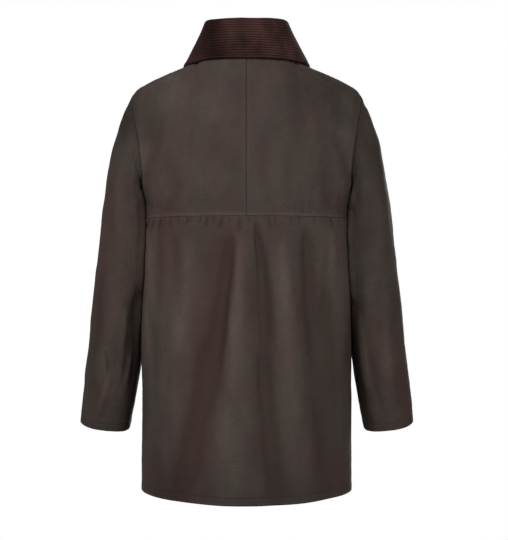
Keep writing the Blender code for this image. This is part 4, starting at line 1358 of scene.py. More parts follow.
def dress_collar():
    """Makes the collar: the folded wall with its rounded wales, faint centre seam and soft edge."""
    form, out = collar_form()
    run = run_along(form)
    wales = STAND_WALES + FOLD_WALES + WALES
    wale = np.arange(wales * WALE_STEPS + 1) / WALE_STEPS
    ends = run[[0, STAND_STEPS, STAND_STEPS + FOLD_STEPS, -1]]
    at = np.interp(wale, (0, STAND_WALES, STAND_WALES + FOLD_WALES, wales), ends)
    columns = np.linspace(0, COLLAR_COLUMNS, COLLAR_FINE + 1)
    coarse = np.arange(COLLAR_COLUMNS + 1)
    grid = curve_through(run, form, at)
    grid = curve_through(coarse, grid.transpose(1, 0, 2), columns).transpose(1, 0, 2)
    away = grid_normals(grid)
    away *= np.sign((away[-1] * curve_through(coarse, out, columns)).sum())
    apart = distances(grid, False)
    crown = np.broadcast_to(wale_height(wale)[:, None], grid.shape[:2])
    seam = np.min([apart[edge] for edge in EDGE_LINES], axis=0)
    soft = smoothstep(seam / COLLAR_SOFT_REACH)
    sway = WALE_SWAY * cockle(grid, 0.06, COLLAR_SEED + 2, 0.6) * soft
    grid = grid + unit(np.gradient(grid, axis=0)) * sway[..., None]
    uneven = 1 - WALE_UNEVENNESS + WALE_UNEVENNESS * cockle(grid, 0.03, COLLAR_SEED)
    relief = bpy.context.scene.jacket_collar.wale_rise * crown * uneven
    relief = relief + COLLAR_WAVE * cockle(grid, 0.05, COLLAR_SEED + 1, 0.7) * soft
    strong = smoothstep((MIDDLE_STRONG - apart["top"]) / MIDDLE_FADE)
    middle = bell(grid[..., 0], MIDDLE_WIDTH) * (grid[..., 1] > 0)
    relief -= MIDDLE_DEPTH * middle * (MIDDLE_FAINT + (1 - MIDDLE_FAINT) * strong)
    relief -= COLLAR_ROLL * bell(apart["top"], COLLAR_ROLL_WIDTH)
    outer = grid + away * (COLLAR_CLOTH / 2 + relief)[..., None]
    inner = grid - away * COLLAR_CLOTH / 2
    marks = {"crease": 0 * relief, "seam": seam_mark(seam), "wale": crown}
    dressed["collar"] = outer, away, apart
    bulge = np.full(relief.shape, COLLAR_BULGE * COLLAR_CLOTH)
    return cloth_shell("collar", outer, inner, bulge, marks, measures(apart))


def front_line(height):
    """The centre front's line: points on the middle of the cloth, and outward directions."""
    lower = lower_panel(np.array([3.0]), np.arange(LOWER_ROWS + 1) / LOWER_ROWS)[:, 0]
    upper = upper_panel(-1, np.array([0.0]), np.arange(ARMHOLE_ROWS + 2.0))[:, 0]
    line = np.concatenate([lower[:-1], upper])
    points, above, below = (curve_through(line[:, 2], line, height + k * FRONT_STEP) for k in (0, 1, -1))
    along = above - below
    return points, unit(np.stack([np.zeros(len(height)), -along[:, 2], along[:, 1]], axis=1))


def front_foot():
    """Height of the hem at the centre front."""
    return float(hem_height(np.array(3.0)))


def thin_strip(name, grid, away, thick, marks, apart, bead=0.0):
    """A closed strip of thin cloth round a grid, thicker where it has a bead."""
    half = thick / 2 + bead
    bulge = np.full(grid.shape[:2], THIN_BULGE * thick)
    return cloth_shell(name, grid + away * half, grid - away * half, bulge, marks, measures(apart))


def dress_tape(name, side):
    """Makes a zip tape with the corded bead that the teeth grip."""
    ends = front_foot() + TAPE_FOOT, -NECK_FRONT_DROP - TAPE_HEAD
    points, out = front_line(np.linspace(*ends, TAPE_ROWS + 1))
    columns = np.array(TAPE_COLUMNS)
    across = side * (TAPE_INNER + columns)[:, None] * np.array([1.0, 0.0, 0.0])
    grid = (points - out * TAPE_DEPTH)[:, None] + across[None]
    away = np.repeat(out[:, None], len(columns), axis=1)
    bead = (BEAD_RISE * bell(columns - BEAD_AT, BEAD_WIDTH))[None, :, None]
    apart = distances(grid, False)
    marks = {"crease": 0 * apart["foot"], "seam": seam_mark(apart["left"])}
    return thin_strip(name, grid, away, TAPE, marks, apart, bead)


def behind(name, edge, keep):
    """Lines on the inside of a panel, from one of its edges to the width of an allowance."""
    points, normals, _ = zip(*(line_at(name, edge, distance, keep) for distance in ALLOWANCE_STEPS))
    points, normals = np.stack(points, axis=1), np.stack(normals, axis=1)
    return points - normals * (CLOTH + SEAM_GAP + ALLOWANCE_CLOTH / 2), normals


def dress_allowance(name, one, other):
    """Makes the cloth turned in behind a seam, across both of the edges that meet there."""
    (first, away), (second, back) = behind(*one), behind(*other)
    grid = np.concatenate([first[:, ::-1], second], axis=1)
    normals = np.concatenate([away[:, ::-1], back], axis=1)
    apart = distances(grid, False)
    marks = {"crease": 0 * apart["foot"] - ALLOWANCE_DARK, "seam": 0 * apart["foot"] + 1}
    return thin_strip(name, grid, normals, ALLOWANCE_CLOTH, marks, apart)


def loft(name, sections):
    """A closed body through like rings of points."""
    around = len(sections[0])
    points = [point for section in sections for point in section]
    last = len(points) - around
    faces = []
    for first in range(0, last, around):
        for i in range(around):
            here, after = first + i, first + (i + 1) % around
            faces.append((here, after, after + around, here + around))
    faces += [tuple(range(around))[::-1], tuple(range(last, len(points)))]
    mesh = bpy.data.meshes.new(name)
    mesh.from_pydata(points, [], faces)
    edit = bmesh.new()
    edit.from_mesh(mesh)
    bmesh.ops.recalc_face_normals(edit, faces=edit.faces)
    edit.to_mesh(mesh)
    edit.free()
    return linked(name, mesh)


def tooth_piece():
    """One tooth of the zip."""
    corners = ((1, 1), (-1, 1), (-1, -1), (1, -1))
    return loft("tooth", [[(a * high, y, b * deep) for a, b in corners] for y, high, deep in TOOTH])


def stitch_piece(length, thickness):
    """One stitch of thread."""
    corners = ((1, 0), (0, 1), (-1, 0), (0, -1))
    sections = [
        [(at * length, a * thick * thickness / 2, (rise + b * thick / 2) * thickness) for a, b in corners]
        for at, rise, thick in STITCH
    ]
    return loft("stitch", sections)


def line_at(name, edge, distance, keep=slice(None), closed=False):
    """A line on a panel's face at a distance from one of its edges, with outward directions."""
    outer, away, apart = dressed[name]
    far = apart[edge]
    if edge in ("left", "right"):
        outer, away, far = outer.transpose(1, 0, 2), away.transpose(1, 0, 2), far.T
    if edge in ("top", "right"):
        outer, away, far = outer[::-1], away[::-1], far[::-1]
    outer, away, far = outer[:, keep], away[:, keep], far[:, keep]
    k = np.clip((far < distance).sum(axis=0), 1, len(far) - 1)
    j = np.arange(far.shape[1])
    t = ((distance - far[k - 1, j]) / (far[k, j] - far[k - 1, j]))[:, None]
    points = outer[k - 1, j] * (1 - t) + outer[k, j] * t
    return points, unit(away[k - 1, j] * (1 - t) + away[k, j] * t), closed


def seam_lines():
    """The lines of stitches on the back, fronts, sleeves and collar."""
    front_armhole = slice(len(DROPS) - 1 + ALONG_ARMHOLE.start, None)
    back = [
        line_at("back_yoke_left", "foot", ACROSS_STITCHES),
        line_at("back_yoke_right", "foot", ACROSS_STITCHES),
        line_at("back_yoke_right", "left", CENTRE_STITCHES),
        line_at("back_lower", "foot", HEM_STITCHES),
        line_at("back_lower", "left", SEAM_STITCHES),
        line_at("back_lower", "right", SEAM_STITCHES),
    ]
    back += [line_at(f"back_yoke_{word}", "right", SEAM_STITCHES, ALONG_ARMHOLE) for word in SIDES]
    back += [line_at(f"back_yoke_{word}", "top", SEAM_STITCHES, ALONG_SHOULDER) for word in SIDES]
    fronts = []
    for word in SIDES:
        fronts.append(line_at(f"front_{word}", "foot", HEM_STITCHES))
        fronts += [line_at(f"front_{word}", "left", distance, slice(2, -2)) for distance in FRONT_STITCHES]
        fronts.append(line_at(f"front_{word}", "right", SEAM_STITCHES, front_armhole))
    sleeves = [line_at(f"sleeve_{word}", "top", CUFF_STITCHES, closed=True) for word in SIDES]
    collar = [line_at("collar", "top", COLLAR_STITCHES)]
    return {"back": back, "fronts": fronts, "sleeves": sleeves, "collar": collar}


# Nodes


def fill(node, inputs):
    """Gives a node its inputs, each a value or another node's output."""
    for key, value in inputs.items():
        if isinstance(value, bpy.types.NodeSocket):
            node.id_data.links.new(value, node.inputs[key])
        else:
            node.inputs[key].default_value = value
    return node


def place(tree, kind, inputs=None, **settings):
    """A new node with its settings and inputs."""
    made = tree.nodes.new(kind)
    for key, value in settings.items():
        setattr(made, key, value)
    return fill(made, inputs or {})


def new_tree(name, kind, takes, gives):
    """A node group with named inputs, each with its default, and named outputs."""
    tree = bpy.data.node_groups.new(name, kind)
    for label, socket, value in takes:
        made = tree.interface.new_socket(label, in_out="INPUT", socket_type=f"NodeSocket{socket}")
        if value is not None:
            made.default_value = value
    for label, socket in gives:
        tree.interface.new_socket(label, in_out="OUTPUT", socket_type=f"NodeSocket{socket}")
    return tree, tree.nodes.new("NodeGroupInput").outputs, tree.nodes.new("NodeGroupOutput").inputs


def wired(kind, inputs, output=0, **settings):
    """An output of a new node, in the tree of the outputs that feed it."""
    tree = next(value.id_data for value in inputs.values() if isinstance(value, bpy.types.NodeSocket))
    return place(tree, kind, inputs, **settings).outputs[output]


def maths(operation, *values, clamp=False):
    """The result of a math node."""
    return wired("ShaderNodeMath", dict(enumerate(values)), operation=operation, use_clamp=clamp)


@cache
def repeat_tree():
    """Geometry nodes that set a piece along lines, standing on the way out of the cloth."""
    takes = (
        ("Lines", "Geometry", None),
        ("Piece", "Object", None),
        ("Finish", "Material", None),
        ("Pitch", "Float", 0.003),
        ("Lift", "Float", 0.0),
        ("Unevenness", "Float", 0.0),
        ("Seed", "Int", 1),
    )
    tree, takes, gives = new_tree("Row of repeats", "GeometryNodeTree", takes, (("Row", "Geometry"),))
    tree.is_modifier = True
    curve = wired("GeometryNodeMeshToCurve", {"Mesh": takes["Lines"]})
    spaced = {"Curve": curve, "Length": takes["Pitch"]}
    points = place(tree, "GeometryNodeCurveToPoints", spaced, mode="LENGTH").outputs
    out = place(tree, "GeometryNodeInputNamedAttribute", {"Name": "out"}, data_type="FLOAT_VECTOR").outputs[0]
    lift = wired("ShaderNodeVectorMath", {0: out, "Scale": takes["Lift"]}, operation="SCALE")
    moved = wired("GeometryNodeSetPosition", {"Geometry": points["Points"], "Offset": lift})
    turn = "FunctionNodeAlignRotationToVector"
    stand = wired(turn, {"Vector": out}, axis="Z")
    lie = wired(turn, {"Rotation": stand, "Vector": points["Tangent"]}, axis="X", pivot_axis="Z")
    low, high = (maths(way, 1.0, takes["Unevenness"]) for way in ("SUBTRACT", "ADD"))
    size = wired("FunctionNodeRandomValue", {2: low, 3: high, "Seed": takes["Seed"]}, 1, data_type="FLOAT")
    piece = wired("GeometryNodeObjectInfo", {"Object": takes["Piece"]}, "Geometry")
    placed = {"Points": moved, "Instance": piece, "Rotation": lie, "Scale": size}
    row = wired("GeometryNodeInstanceOnPoints", placed)
    real = wired("GeometryNodeRealizeInstances", {"Geometry": row})
    whole = wired("GeometryNodeSetMaterial", {"Geometry": real, "Material": takes["Finish"]})
    tree.links.new(whole, gives["Row"])
    return tree


def repeats(name, lines, piece, finish, **sizes):
    """Sets a piece along lines of points with outward directions, and makes it one plain mesh."""
    edges, first = [], 0
    for line, _, closed in lines:
        there = first + np.arange(len(line))
        edges.append(np.stack([there, np.roll(there, -1)], axis=1)[: None if closed else -1])
        first += len(there)
    points, out = (np.concatenate([line[k] for line in lines]) for k in (0, 1))
    mesh = bpy.data.meshes.new(name)
    mesh.from_pydata(points.tolist(), np.concatenate(edges).tolist(), [])
    ways = mesh.attributes.new("out", "FLOAT_VECTOR", "POINT")
    ways.data.foreach_set("vector", out.ravel().astype(np.float32))
    made = linked(name, mesh)
    rows = made.modifiers.new("rows", "NODES")
    rows.node_group = repeat_tree()
    values = {"Piece": piece, "Finish": finish, **sizes}
    for socket in rows.node_group.interface.items_tree:
        if socket.in_out == "INPUT" and socket.name in values:
            rows[socket.identifier] = values[socket.name]
    bpy.context.view_layer.update()
    graph = bpy.context.evaluated_depsgraph_get()
    whole = made.evaluated_get(graph)
    solid = bpy.data.meshes.new_from_object(whole, preserve_all_data_layers=True, depsgraph=graph)
    if not len(solid.polygons):
        raise RuntimeError(f"{name}: nothing was set along its lines")
    made.modifiers.clear()
    made.data = solid
    solid.name = name
    solid.shade_smooth()
    bpy.data.objects.remove(piece)
    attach(made, "jacket")
    return made


# Shader nodes, each as its output


def spread(value, low, high, to_low=0.0, to_high=1.0, **settings):
    """A value spread from one range over another."""
    inputs = {"Value": value, "From Min": low, "From Max": high, "To Min": to_low, "To Max": to_high}
    return wired("ShaderNodeMapRange", inputs, **settings)


def noise(vector, scale, detail, **inputs):
    """A noise texture."""
    return wired("ShaderNodeTexNoise", {"Vector": vector, "Scale": scale, "Detail": detail, **inputs})


def stretched(vector, scale):
    """A vector scaled by its own amount along each axis."""
    return wired("ShaderNodeMapping", {"Vector": vector, "Scale": scale})


def mark(tree, name):
    """One of the marks that the cloth carries."""
    return place(tree, "ShaderNodeAttribute", attribute_name=name).outputs["Fac"]


def bump(height, strength, distance, **inputs):
    """Normals raised by a height."""
    return wired("ShaderNodeBump", {"Strength": strength, "Distance": distance, "Height": height, **inputs})


def mixed(share, first, second, blend="MIX"):
    """One colour mixed into another."""
    return wired("ShaderNodeMix", {0: share, 6: first, 7: second}, 2, data_type="RGBA", blend_type=blend)


def shaded(colour, *factors):
    """A colour made lighter or darker by the product of some factors."""
    whole = factors[0]
    for factor in factors[1:]:
        whole = maths("MULTIPLY", whole, factor)
    grey = wired("ShaderNodeCombineXYZ", {0: whole, 1: whole, 2: whole})
    return mixed(1.0, colour, grey, "MULTIPLY")


def use(tree, group, **inputs):
    """The outputs of a shader group placed in a material, with its own values."""
    inputs = {key.replace("_", " ").title(): value for key, value in inputs.items()}
    return place(tree, "ShaderNodeGroup", inputs, node_tree=group).outputs


def tone(colour, *factors):
    """A colour with its channels multiplied by three factors, or all of them by one."""
    return (*(channel * factor for channel, factor in zip(colour, factors * (3 // len(factors)))), 1.0)


# Shader groups


@cache
def uneven_dye():
    """Group: soft clouds, streaks and specks of tone over a piece."""
    takes = (("Vector", "Vector", None), ("Cloud Size", "Float", 0.05), ("Speck Size", "Float", 0.004))
    gives = (("Cloud", "Float"), ("Streak", "Float"), ("Speck", "Float"))
    tree, takes, gives = new_tree("Uneven dye", "ShaderNodeTree", takes, gives)
    for label, size, detail, stretch in (
        ("Cloud", "Cloud Size", 3.0, (1.0, 1.0, 0.6)),
        ("Streak", "Cloud Size", 2.0, (2.6, 2.6, 0.45)),
        ("Speck", "Speck Size", 2.0, (1.0, 1.0, 1.0)),
    ):
        scale = maths("DIVIDE", 1.0, takes[size])
        cloud = noise(stretched(takes["Vector"], stretch), scale, detail, Roughness=0.55)
        tree.links.new(cloud, gives[label])
    return tree


@cache
def plain_weave():
    """Group: height of a plain weave, on the cloth's own measures."""
    takes = (("Vector", "Vector", None), ("Thread Pitch", "Float", 0.0004), ("Slub", "Float", 0.3))
    tree, takes, gives = new_tree("Plain weave", "ShaderNodeTree", takes, (("Height", "Float"),))
    turns = maths("DIVIDE", math.pi, takes["Thread Pitch"])
    scaled = wired("ShaderNodeVectorMath", {0: takes["Vector"], "Scale": turns}, operation="SCALE")
    split = place(tree, "ShaderNodeSeparateXYZ", {0: scaled}).outputs
    across, up = (maths("SINE", split[k]) for k in (0, 1))
    over = maths("MULTIPLY", across, up)
    slub = noise(takes["Vector"], maths("DIVIDE", SLUB_LENGTH, takes["Thread Pitch"]), 2.0)
    uneven = maths("MULTIPLY", slub, takes["Slub"])
    tree.links.new(maths("MULTIPLY_ADD", over, 0.5, uneven), gives["Height"])
    return tree


@cache
def wax_lines():
    """Group: thin crooked lines where the waxed cloth has been crushed, in some places only."""
    takes = (("Vector", "Vector", (0, 0, 0)), ("Size", "Float", 0.05), ("Width", "Float", 0.02))
    tree, takes, gives = new_tree("Wax lines", "ShaderNodeTree", takes, (("Line", "Float"),))
    scale = maths("DIVIDE", 1.0, takes["Size"])
    crooked = noise(takes["Vector"], scale, 3.0, Roughness=0.55, Distortion=0.4)
    kept = spread(noise(takes["Vector"], CRUSHED_SCALE, 1.0), *CRUSHED)
    off = maths("ABSOLUTE", maths("SUBTRACT", crooked, 0.5))
    line = maths("SUBTRACT", 1.0, maths("DIVIDE", off, takes["Width"]), clamp=True)
    tree.links.new(maths("MULTIPLY", line, kept), gives["Line"])
    return tree


@cache
def crease_shade_and_wear():
    """Group: edges rubbed pale, ridges paler as wear and painted highlight, painted shade in troughs and by
    seams.
    """
    takes = tuple((name, "Float", 0.5) for name in ("Patches", "Ridge", "Edge", "Dirt"))
    gives = (("Pale", "Float"), ("Dark", "Float"))
    tree, takes, gives = new_tree("Crease wear", "ShaderNodeTree", takes, gives)
    crease = mark(tree, "crease")
    far = maths("MULTIPLY", mark(tree, "seam"), SEAM_REACH * 1000)
    rubbed = maths("MULTIPLY", mark(tree, "rub"), takes["Edge"])
    # Ridges paler, as wear and painted highlight
    ridge = maths("MULTIPLY", maths("MAXIMUM", crease, 0.0), takes["Ridge"])
    both = maths("ADD", rubbed, ridge)
    tree.links.new(maths("MULTIPLY", both, takes["Patches"], clamp=True), gives["Pale"])
    # Painted shade in troughs
    trough = maths("MULTIPLY", maths("MINIMUM", crease, 0.0), -1.0)
    # A painted shadow line close beside seams
    dirt = maths("MULTIPLY", spread(far, *SEAM_SHADOW, 1.0, 0.0), takes["Dirt"])
    tree.links.new(maths("ADD", trough, dirt, clamp=True), gives["Dark"])
    return tree


# Finishes


def new_finish(name, cloud_size, speck_size):
    """A new material with its tree, its points' places on the object, and their uneven dye."""
    finish = bpy.data.materials.new(name)
    finish.use_nodes = True
    tree = finish.node_tree
    here = place(tree, "ShaderNodeTexCoord").outputs["Object"]
    dye = use(tree, uneven_dye(), vector=here, cloud_size=cloud_size, speck_size=speck_size)
    return finish, tree, here, dye


def finished(finish, inputs):
    """The material with the inputs of its shader filled in."""
    fill(finish.node_tree.nodes["Principled BSDF"], inputs)
    return finish


@cache
def waxed_cotton():
    """Waxed canvas: brown with warm and grey patches, painted shade and light, worn edges, ridges paler as
    wear and painted highlight, a soft wax sheen.
    """
    finish, tree, here, dye = new_finish("waxed_cotton", cloud_size=0.07, speck_size=0.0032)
    colour = bpy.context.scene.jacket_cloth.colour
    shade_and_wear = use(tree, crease_shade_and_wear(), patches=dye["Cloud"], ridge=1.25, edge=1.7, dirt=0.6)
    lines = use(tree, wax_lines(), vector=here, size=0.055, width=0.026)["Line"]
    grey, warm = tone(colour, 0.96, 1.04, 1.01), tone(colour, 1.09, 0.95, 0.98)
    mottled = maths("MULTIPLY_ADD", dye["Speck"], 0.9, dye["Cloud"])
    base = mixed(spread(mottled, 0.75, 1.15), warm, grey)
    streaks = spread(dye["Streak"], *NOISE, 0.88, 1.12)
    specks = spread(dye["Speck"], *NOISE, 0.9, 1.1)
    # Patches of painted shade and light, and painted shade towards the hem and cuffs
    painted_shading_factor = maths("MULTIPLY_ADD", mark(tree, "painted_shading"), -0.38, 1.0)
    base = shaded(base, streaks, specks, painted_shading_factor)
    base = mixed(mark(tree, "warm"), base, tone(colour, 1.2, 0.83, 0.92))
    # Painted shade in troughs, in the sewn groove, beside the armhole and by seams
    base = mixed(shade_and_wear["Dark"], base, (0.76, 0.68, 0.66, 1.0), "MULTIPLY")
    # Rubbed edges and crushed lines paler, and ridges paler as wear and painted highlight
    rubbed = maths("ADD", shade_and_wear["Pale"], maths("MULTIPLY", lines, 0.07), clamp=True)
    base = mixed(rubbed, base, (1.6, 1.58, 1.62, 1.0), "MULTIPLY")
    cloth = place(tree, "ShaderNodeUVMap", uv_map="cloth").outputs[0]
    weave = use(tree, plain_weave(), vector=cloth, thread_pitch=0.00042, slub=0.9)["Height"]
    fine = bump(maths("MULTIPLY_ADD", dye["Speck"], 2.0, weave), 0.5, 0.00006)
    crumple = noise(stretched(here, (0.55, 0.55, 1.35)), 95.0, 3.0, Roughness=0.5)
    crushed = maths("MULTIPLY_ADD", lines, 0.32, crumple)
    return finished(finish, {
        "Base Color": base,
        "Roughness": spread(dye["Streak"], *NOISE, 0.66, 0.82),
        "Specular IOR Level": 0.18,
        "Sheen Weight": 0.01,
        "Sheen Roughness": 0.5,
        "Normal": bump(crushed, 0.6, 0.001, Normal=fine),
    })


def nap_marks(vector):
    """How light the pile lies over the back of the collar, about 1."""
    x, _, height = place(vector.id_data, "ShaderNodeSeparateXYZ", {"Vector": vector}).outputs
    up = maths("SUBTRACT", height, NAP_V["z"])

    def off(across, slope, width):
        """How many widths lie between a point and a slanting line."""
        across = maths("SUBTRACT", across, maths("MULTIPLY", up, slope))
        return maths("ABSOLUTE", maths("DIVIDE", across, width))

    aside = maths("ABSOLUTE", maths("SUBTRACT", x, NAP_V["x"]))
    streak = maths("SUBTRACT", 1.0, off(aside, NAP_V["slope"], NAP_V["width"]), clamp=True)
    beside = maths("SUBTRACT", x, NAP_BAND["x"])
    across = off(beside, NAP_BAND["lean"], NAP_BAND["width"])
    band = spread(across, 1.5, 0.1, interpolation_type="SMOOTHSTEP")
    dark = maths("MULTIPLY_ADD", band, -NAP_BAND["dark"], 1.0)
    return maths("MULTIPLY_ADD", streak, NAP_V["light"], dark)


@cache
def corduroy():
    """Corduroy: painted highlight on the crowns, painted shade in the grooves and by the seams, patches of
    brushed pile and a soft sheen.
    """
    finish, tree, here, dye = new_finish("corduroy", cloud_size=0.04, speck_size=0.0016)
    colour = bpy.context.scene.jacket_collar.colour
    shade_and_wear = use(tree, crease_shade_and_wear(), patches=dye["Cloud"], ridge=0.0, edge=0.0, dirt=0.45)
    wale = mark(tree, "wale")
    # Grooves of the wales darker as painted shade, crowns paler as painted highlight
    groove, pale = tone(colour, 0.6, 0.32, 0.32), tone(colour, 1.12, 1.28, 1.16)
    base = mixed(spread(wale, 0.45, 1.0), groove, pale)
    brushed = spread(dye["Cloud"], 0.35, 0.65, 0.58, 1.42)
    pile = spread(dye["Speck"], *NOISE, 0.74, 1.28)
    nap = nap_marks(here)
    base = shaded(base, brushed, pile, nap)
    flattened = maths("SUBTRACT", 1.0, nap, clamp=True)
    base = mixed(flattened, base, (1.1, 0.66, 0.58, 1.0), "MULTIPLY")
    height = maths("MULTIPLY_ADD", wale, 0.6, noise(here, TUFT_SCALE, 2.0))
    return finished(finish, {
        "Base Color": mixed(shade_and_wear["Pale"], base, tone(colour, 1.8)),
        "Roughness": 0.92,
        "Specular IOR Level": 0.12,
        "Sheen Weight": 0.16,
        "Sheen Roughness": 0.4,
        "Sheen Tint": (0.62, 0.36, 0.34, 1.0),
        "Normal": bump(height, 0.8, 0.00022),
    })


@cache
def zip_tape():
    """Woven zip tape: dark ribs across it and a little dust."""
    finish, tree, _, dye = new_finish("zip_tape", cloud_size=0.02, speck_size=0.0009)
    colour = bpy.context.scene.jacket_zip.tape_colour
    ribs = stretched(place(tree, "ShaderNodeUVMap", uv_map="cloth").outputs[0], (0.45, 1.0, 1.0))
    weave = use(tree, plain_weave(), vector=ribs, thread_pitch=0.0005, slub=0.4)["Height"]
    share = maths("MULTIPLY_ADD", weave, 0.5, dye["Speck"], clamp=True)
    return finished(finish, {
        "Base Color": mixed(share, tone(colour, 0.6), tone(colour, 1.6)),
        "Roughness": 0.78,
        "Normal": bump(weave, 0.7, 0.00012),
    })


@cache
def thread():
    """Sewing thread: dark, with the twist of its ply."""
    finish, _, _, dye = new_finish("thread", cloud_size=0.03, speck_size=0.0006)
    colour = bpy.context.scene.jacket_cloth.thread_colour
    share = maths("MULTIPLY_ADD", dye["Speck"], 0.7, dye["Cloud"], clamp=True)
    return finished(finish, {
        "Base Color": mixed(share, tone(colour, 0.7), tone(colour, 1.35)),
        "Roughness": 0.6,
        "Normal": bump(dye["Speck"], 0.4, 0.00006),
    })


@cache
def brass():
    """Aged brass: tarnish in clouds, fine scratches and rubbed brighter specks."""
    finish, _, here, dye = new_finish("brass", cloud_size=0.012, speck_size=0.0007)
    colour = bpy.context.scene.jacket_zip.brass_colour
    tarnish = spread(dye["Cloud"], 0.38, 0.66)
    scratches = noise(stretched(here, (1.0, 1.0, 0.12)), SCRATCH_SCALE, 2.0)
    return finished(finish, {
        "Base Color": mixed(tarnish, tone(colour, 0.42), tone(colour, 1.15)),
        "Roughness": spread(dye["Speck"], *NOISE, 0.28, 0.5),
        "Metallic": 1.0,
        "Normal": bump(scratches, 0.25, 0.00005),
    })


def studio_floor():
    """Pale matt floor with the faintest unevenness."""
    finish, _, _, dye = new_finish("studio_floor", cloud_size=0.8, speck_size=0.02)
    pale = mixed(dye["Cloud"], (0.66, 0.66, 0.65, 1), (0.7, 0.7, 0.69, 1))
    return finished(finish, {"Base Color": pale, "Roughness": 0.9})


FINISHES = {"waxed_cotton": waxed_cotton, "corduroy": corduroy, "zip_tape": zip_tape, "brass": brass}


class JacketClothSettings(bpy.types.PropertyGroup):
    """Cloth and sewing."""

    colour: FloatVectorProperty(
        name="Cloth", description="Colour of the waxed cotton", subtype="COLOR", size=3, min=0, max=1,
        default=(0.0462, 0.035, 0.0292),
    )
    thread_colour: FloatVectorProperty(
        name="Thread", description="Colour of the sewing thread", subtype="COLOR", size=3, min=0, max=1,
        default=(0.02, 0.014, 0.012),
    )
    fold_strength: FloatProperty(
        name="Creases", description="Depth of the creases, as a share", subtype="FACTOR", min=0, max=2,
        default=1.0,
    )
    stitch_length: FloatProperty(
        name="Stitch", description="Length of a stitch", unit="LENGTH", min=0.001, max=0.01, default=0.0032
    )
    thread_width: FloatProperty(
        name="Thread width", description="Thickness of the thread", unit="LENGTH", min=0.0001, max=0.001,
        default=0.00045,
    )
    seed: IntProperty(name="Seed", description="Seed of the uneven cloth", min=0, default=11)


class JacketCollarSettings(bpy.types.PropertyGroup):
    """Corduroy collar."""

    colour: FloatVectorProperty(
        name="Corduroy", description="Colour of the corduroy", subtype="COLOR", size=3, min=0, max=1,
        default=(0.033, 0.0145, 0.0135),
    )
    wale_rise: FloatProperty(
        name="Wales", description="Height of the wales", unit="LENGTH", min=0, max=0.002, default=0.0008
    )


class JacketZipSettings(bpy.types.PropertyGroup):
    """Front zip."""

    brass_colour: FloatVectorProperty(
        name="Brass", description="Colour of the zip's metal", subtype="COLOR", size=3, min=0, max=1,
        default=(0.42, 0.3, 0.15),
    )
    tape_colour: FloatVectorProperty(
        name="Tape", description="Colour of the zip's tape", subtype="COLOR", size=3, min=0, max=1,
        default=(0.02, 0.015, 0.013),
    )
    tooth_pitch: FloatProperty(
        name="Teeth", description="Distance between teeth of a row", unit="LENGTH", min=0.0015, max=0.005,
        default=0.0025,
    )


class JacketStudioSettings(bpy.types.PropertyGroup):
    """Studio."""

    key_power: FloatProperty(
        name="Key", description="Power of the key light", unit="POWER", min=0, default=80.0
    )
    fill_power: FloatProperty(
        name="Fill", description="Power of the fill light", unit="POWER", min=0, default=36.0
    )
    surround: FloatProperty(
        name="Surround", description="Brightness of the surroundings", subtype="FACTOR", min=0, max=2,
        default=0.24,
    )


def add_panel(name, creases, shift):
    """Adds a body panel, with seeds of its own."""
    seed = bpy.context.scene.jacket_cloth.seed + SEED_STEP * shift
    add_piece(f"cloth_{name}", dress_panel(name, creases, seed), "waxed_cotton", replaces=name)


class JACKET_OT_lower_back(bpy.types.Operator):
    """Makes the lower back panel, from the seam across the back to the hem"""

    bl_idname = "jacket.lower_back"
    bl_label = "Lower Back"

    def execute(self, context):
        add_panel("back_lower", BACK_CREASES, 0)
        return {"FINISHED"}


class JACKET_OT_upper_back(bpy.types.Operator):
    """Makes the two upper back panels, joined at the centre back seam"""

    bl_idname = "jacket.upper_back"
    bl_label = "Upper Back"

    def execute(self, context):
        for shift, word in enumerate(SIDES, 1):
            add_panel(f"back_yoke_{word}", YOKE_CREASES, shift)
        return {"FINISHED"}


class JACKET_OT_fronts(bpy.types.Operator):
    """Makes the left and right fronts"""

    bl_idname = "jacket.fronts"
    bl_label = "Fronts"

    def execute(self, context):
        for shift, word in enumerate(SIDES, 3):
            add_panel(f"front_{word}", FRONT_CREASES, shift)
        return {"FINISHED"}


class JACKET_OT_sleeves(bpy.types.Operator):
    """Makes the two set-in sleeves"""

    bl_idname = "jacket.sleeves"
    bl_label = "Sleeves"

    def execute(self, context):
        creases = {"left": LEFT_SLEEVE_CREASES, "right": RIGHT_SLEEVE_CREASES}
        for shift, (word, side) in enumerate(SIDES.items(), 5):
            name = f"sleeve_{word}"
            seed = context.scene.jacket_cloth.seed + SEED_STEP * shift
            mesh = dress_sleeve(name, side, creases[word], seed)
            add_piece(f"cloth_{name}", mesh, "waxed_cotton", replaces=name)
        return {"FINISHED"}


class JACKET_OT_collar(bpy.types.Operator):
    """Makes the folded corduroy collar"""

    bl_idname = "jacket.collar"
    bl_label = "Collar"

    def execute(self, context):
        add_piece("cloth_collar", dress_collar(), "corduroy", replaces="collar")
        return {"FINISHED"}


class JACKET_OT_allowances(bpy.types.Operator):
    """Makes the cloth turned in behind the seams of the body"""

    bl_idname = "jacket.allowances"
    bl_label = "Seam Allowances"

    def execute(self, context):
        below = slice(0, len(DROPS))
        middle = len(SHARES) - 1
        whole = slice(None)
        seams = {"centre": (("back_yoke_left", "left", whole), ("back_yoke_right", "left", whole))}
        for word, side in SIDES.items():
            half = slice(middle, None, -side)
            seams[f"across_{word}"] = ("back_lower", "top", half), (f"back_yoke_{word}", "foot", whole)
        for word in SIDES:
            back, front = f"back_yoke_{word}", f"front_{word}"
            seams[f"shoulder_{word}"] = (back, "top", ALONG_SHOULDER), (front, "top", ALONG_SHOULDER)
            seams[f"side_{word}"] = ("back_lower", word, below), (front, "right", below)
        for word, (one, other) in seams.items():
            name = f"allowance_{word}"
            add_piece(name, dress_allowance(name, one, other), "waxed_cotton")
        return {"FINISHED"}


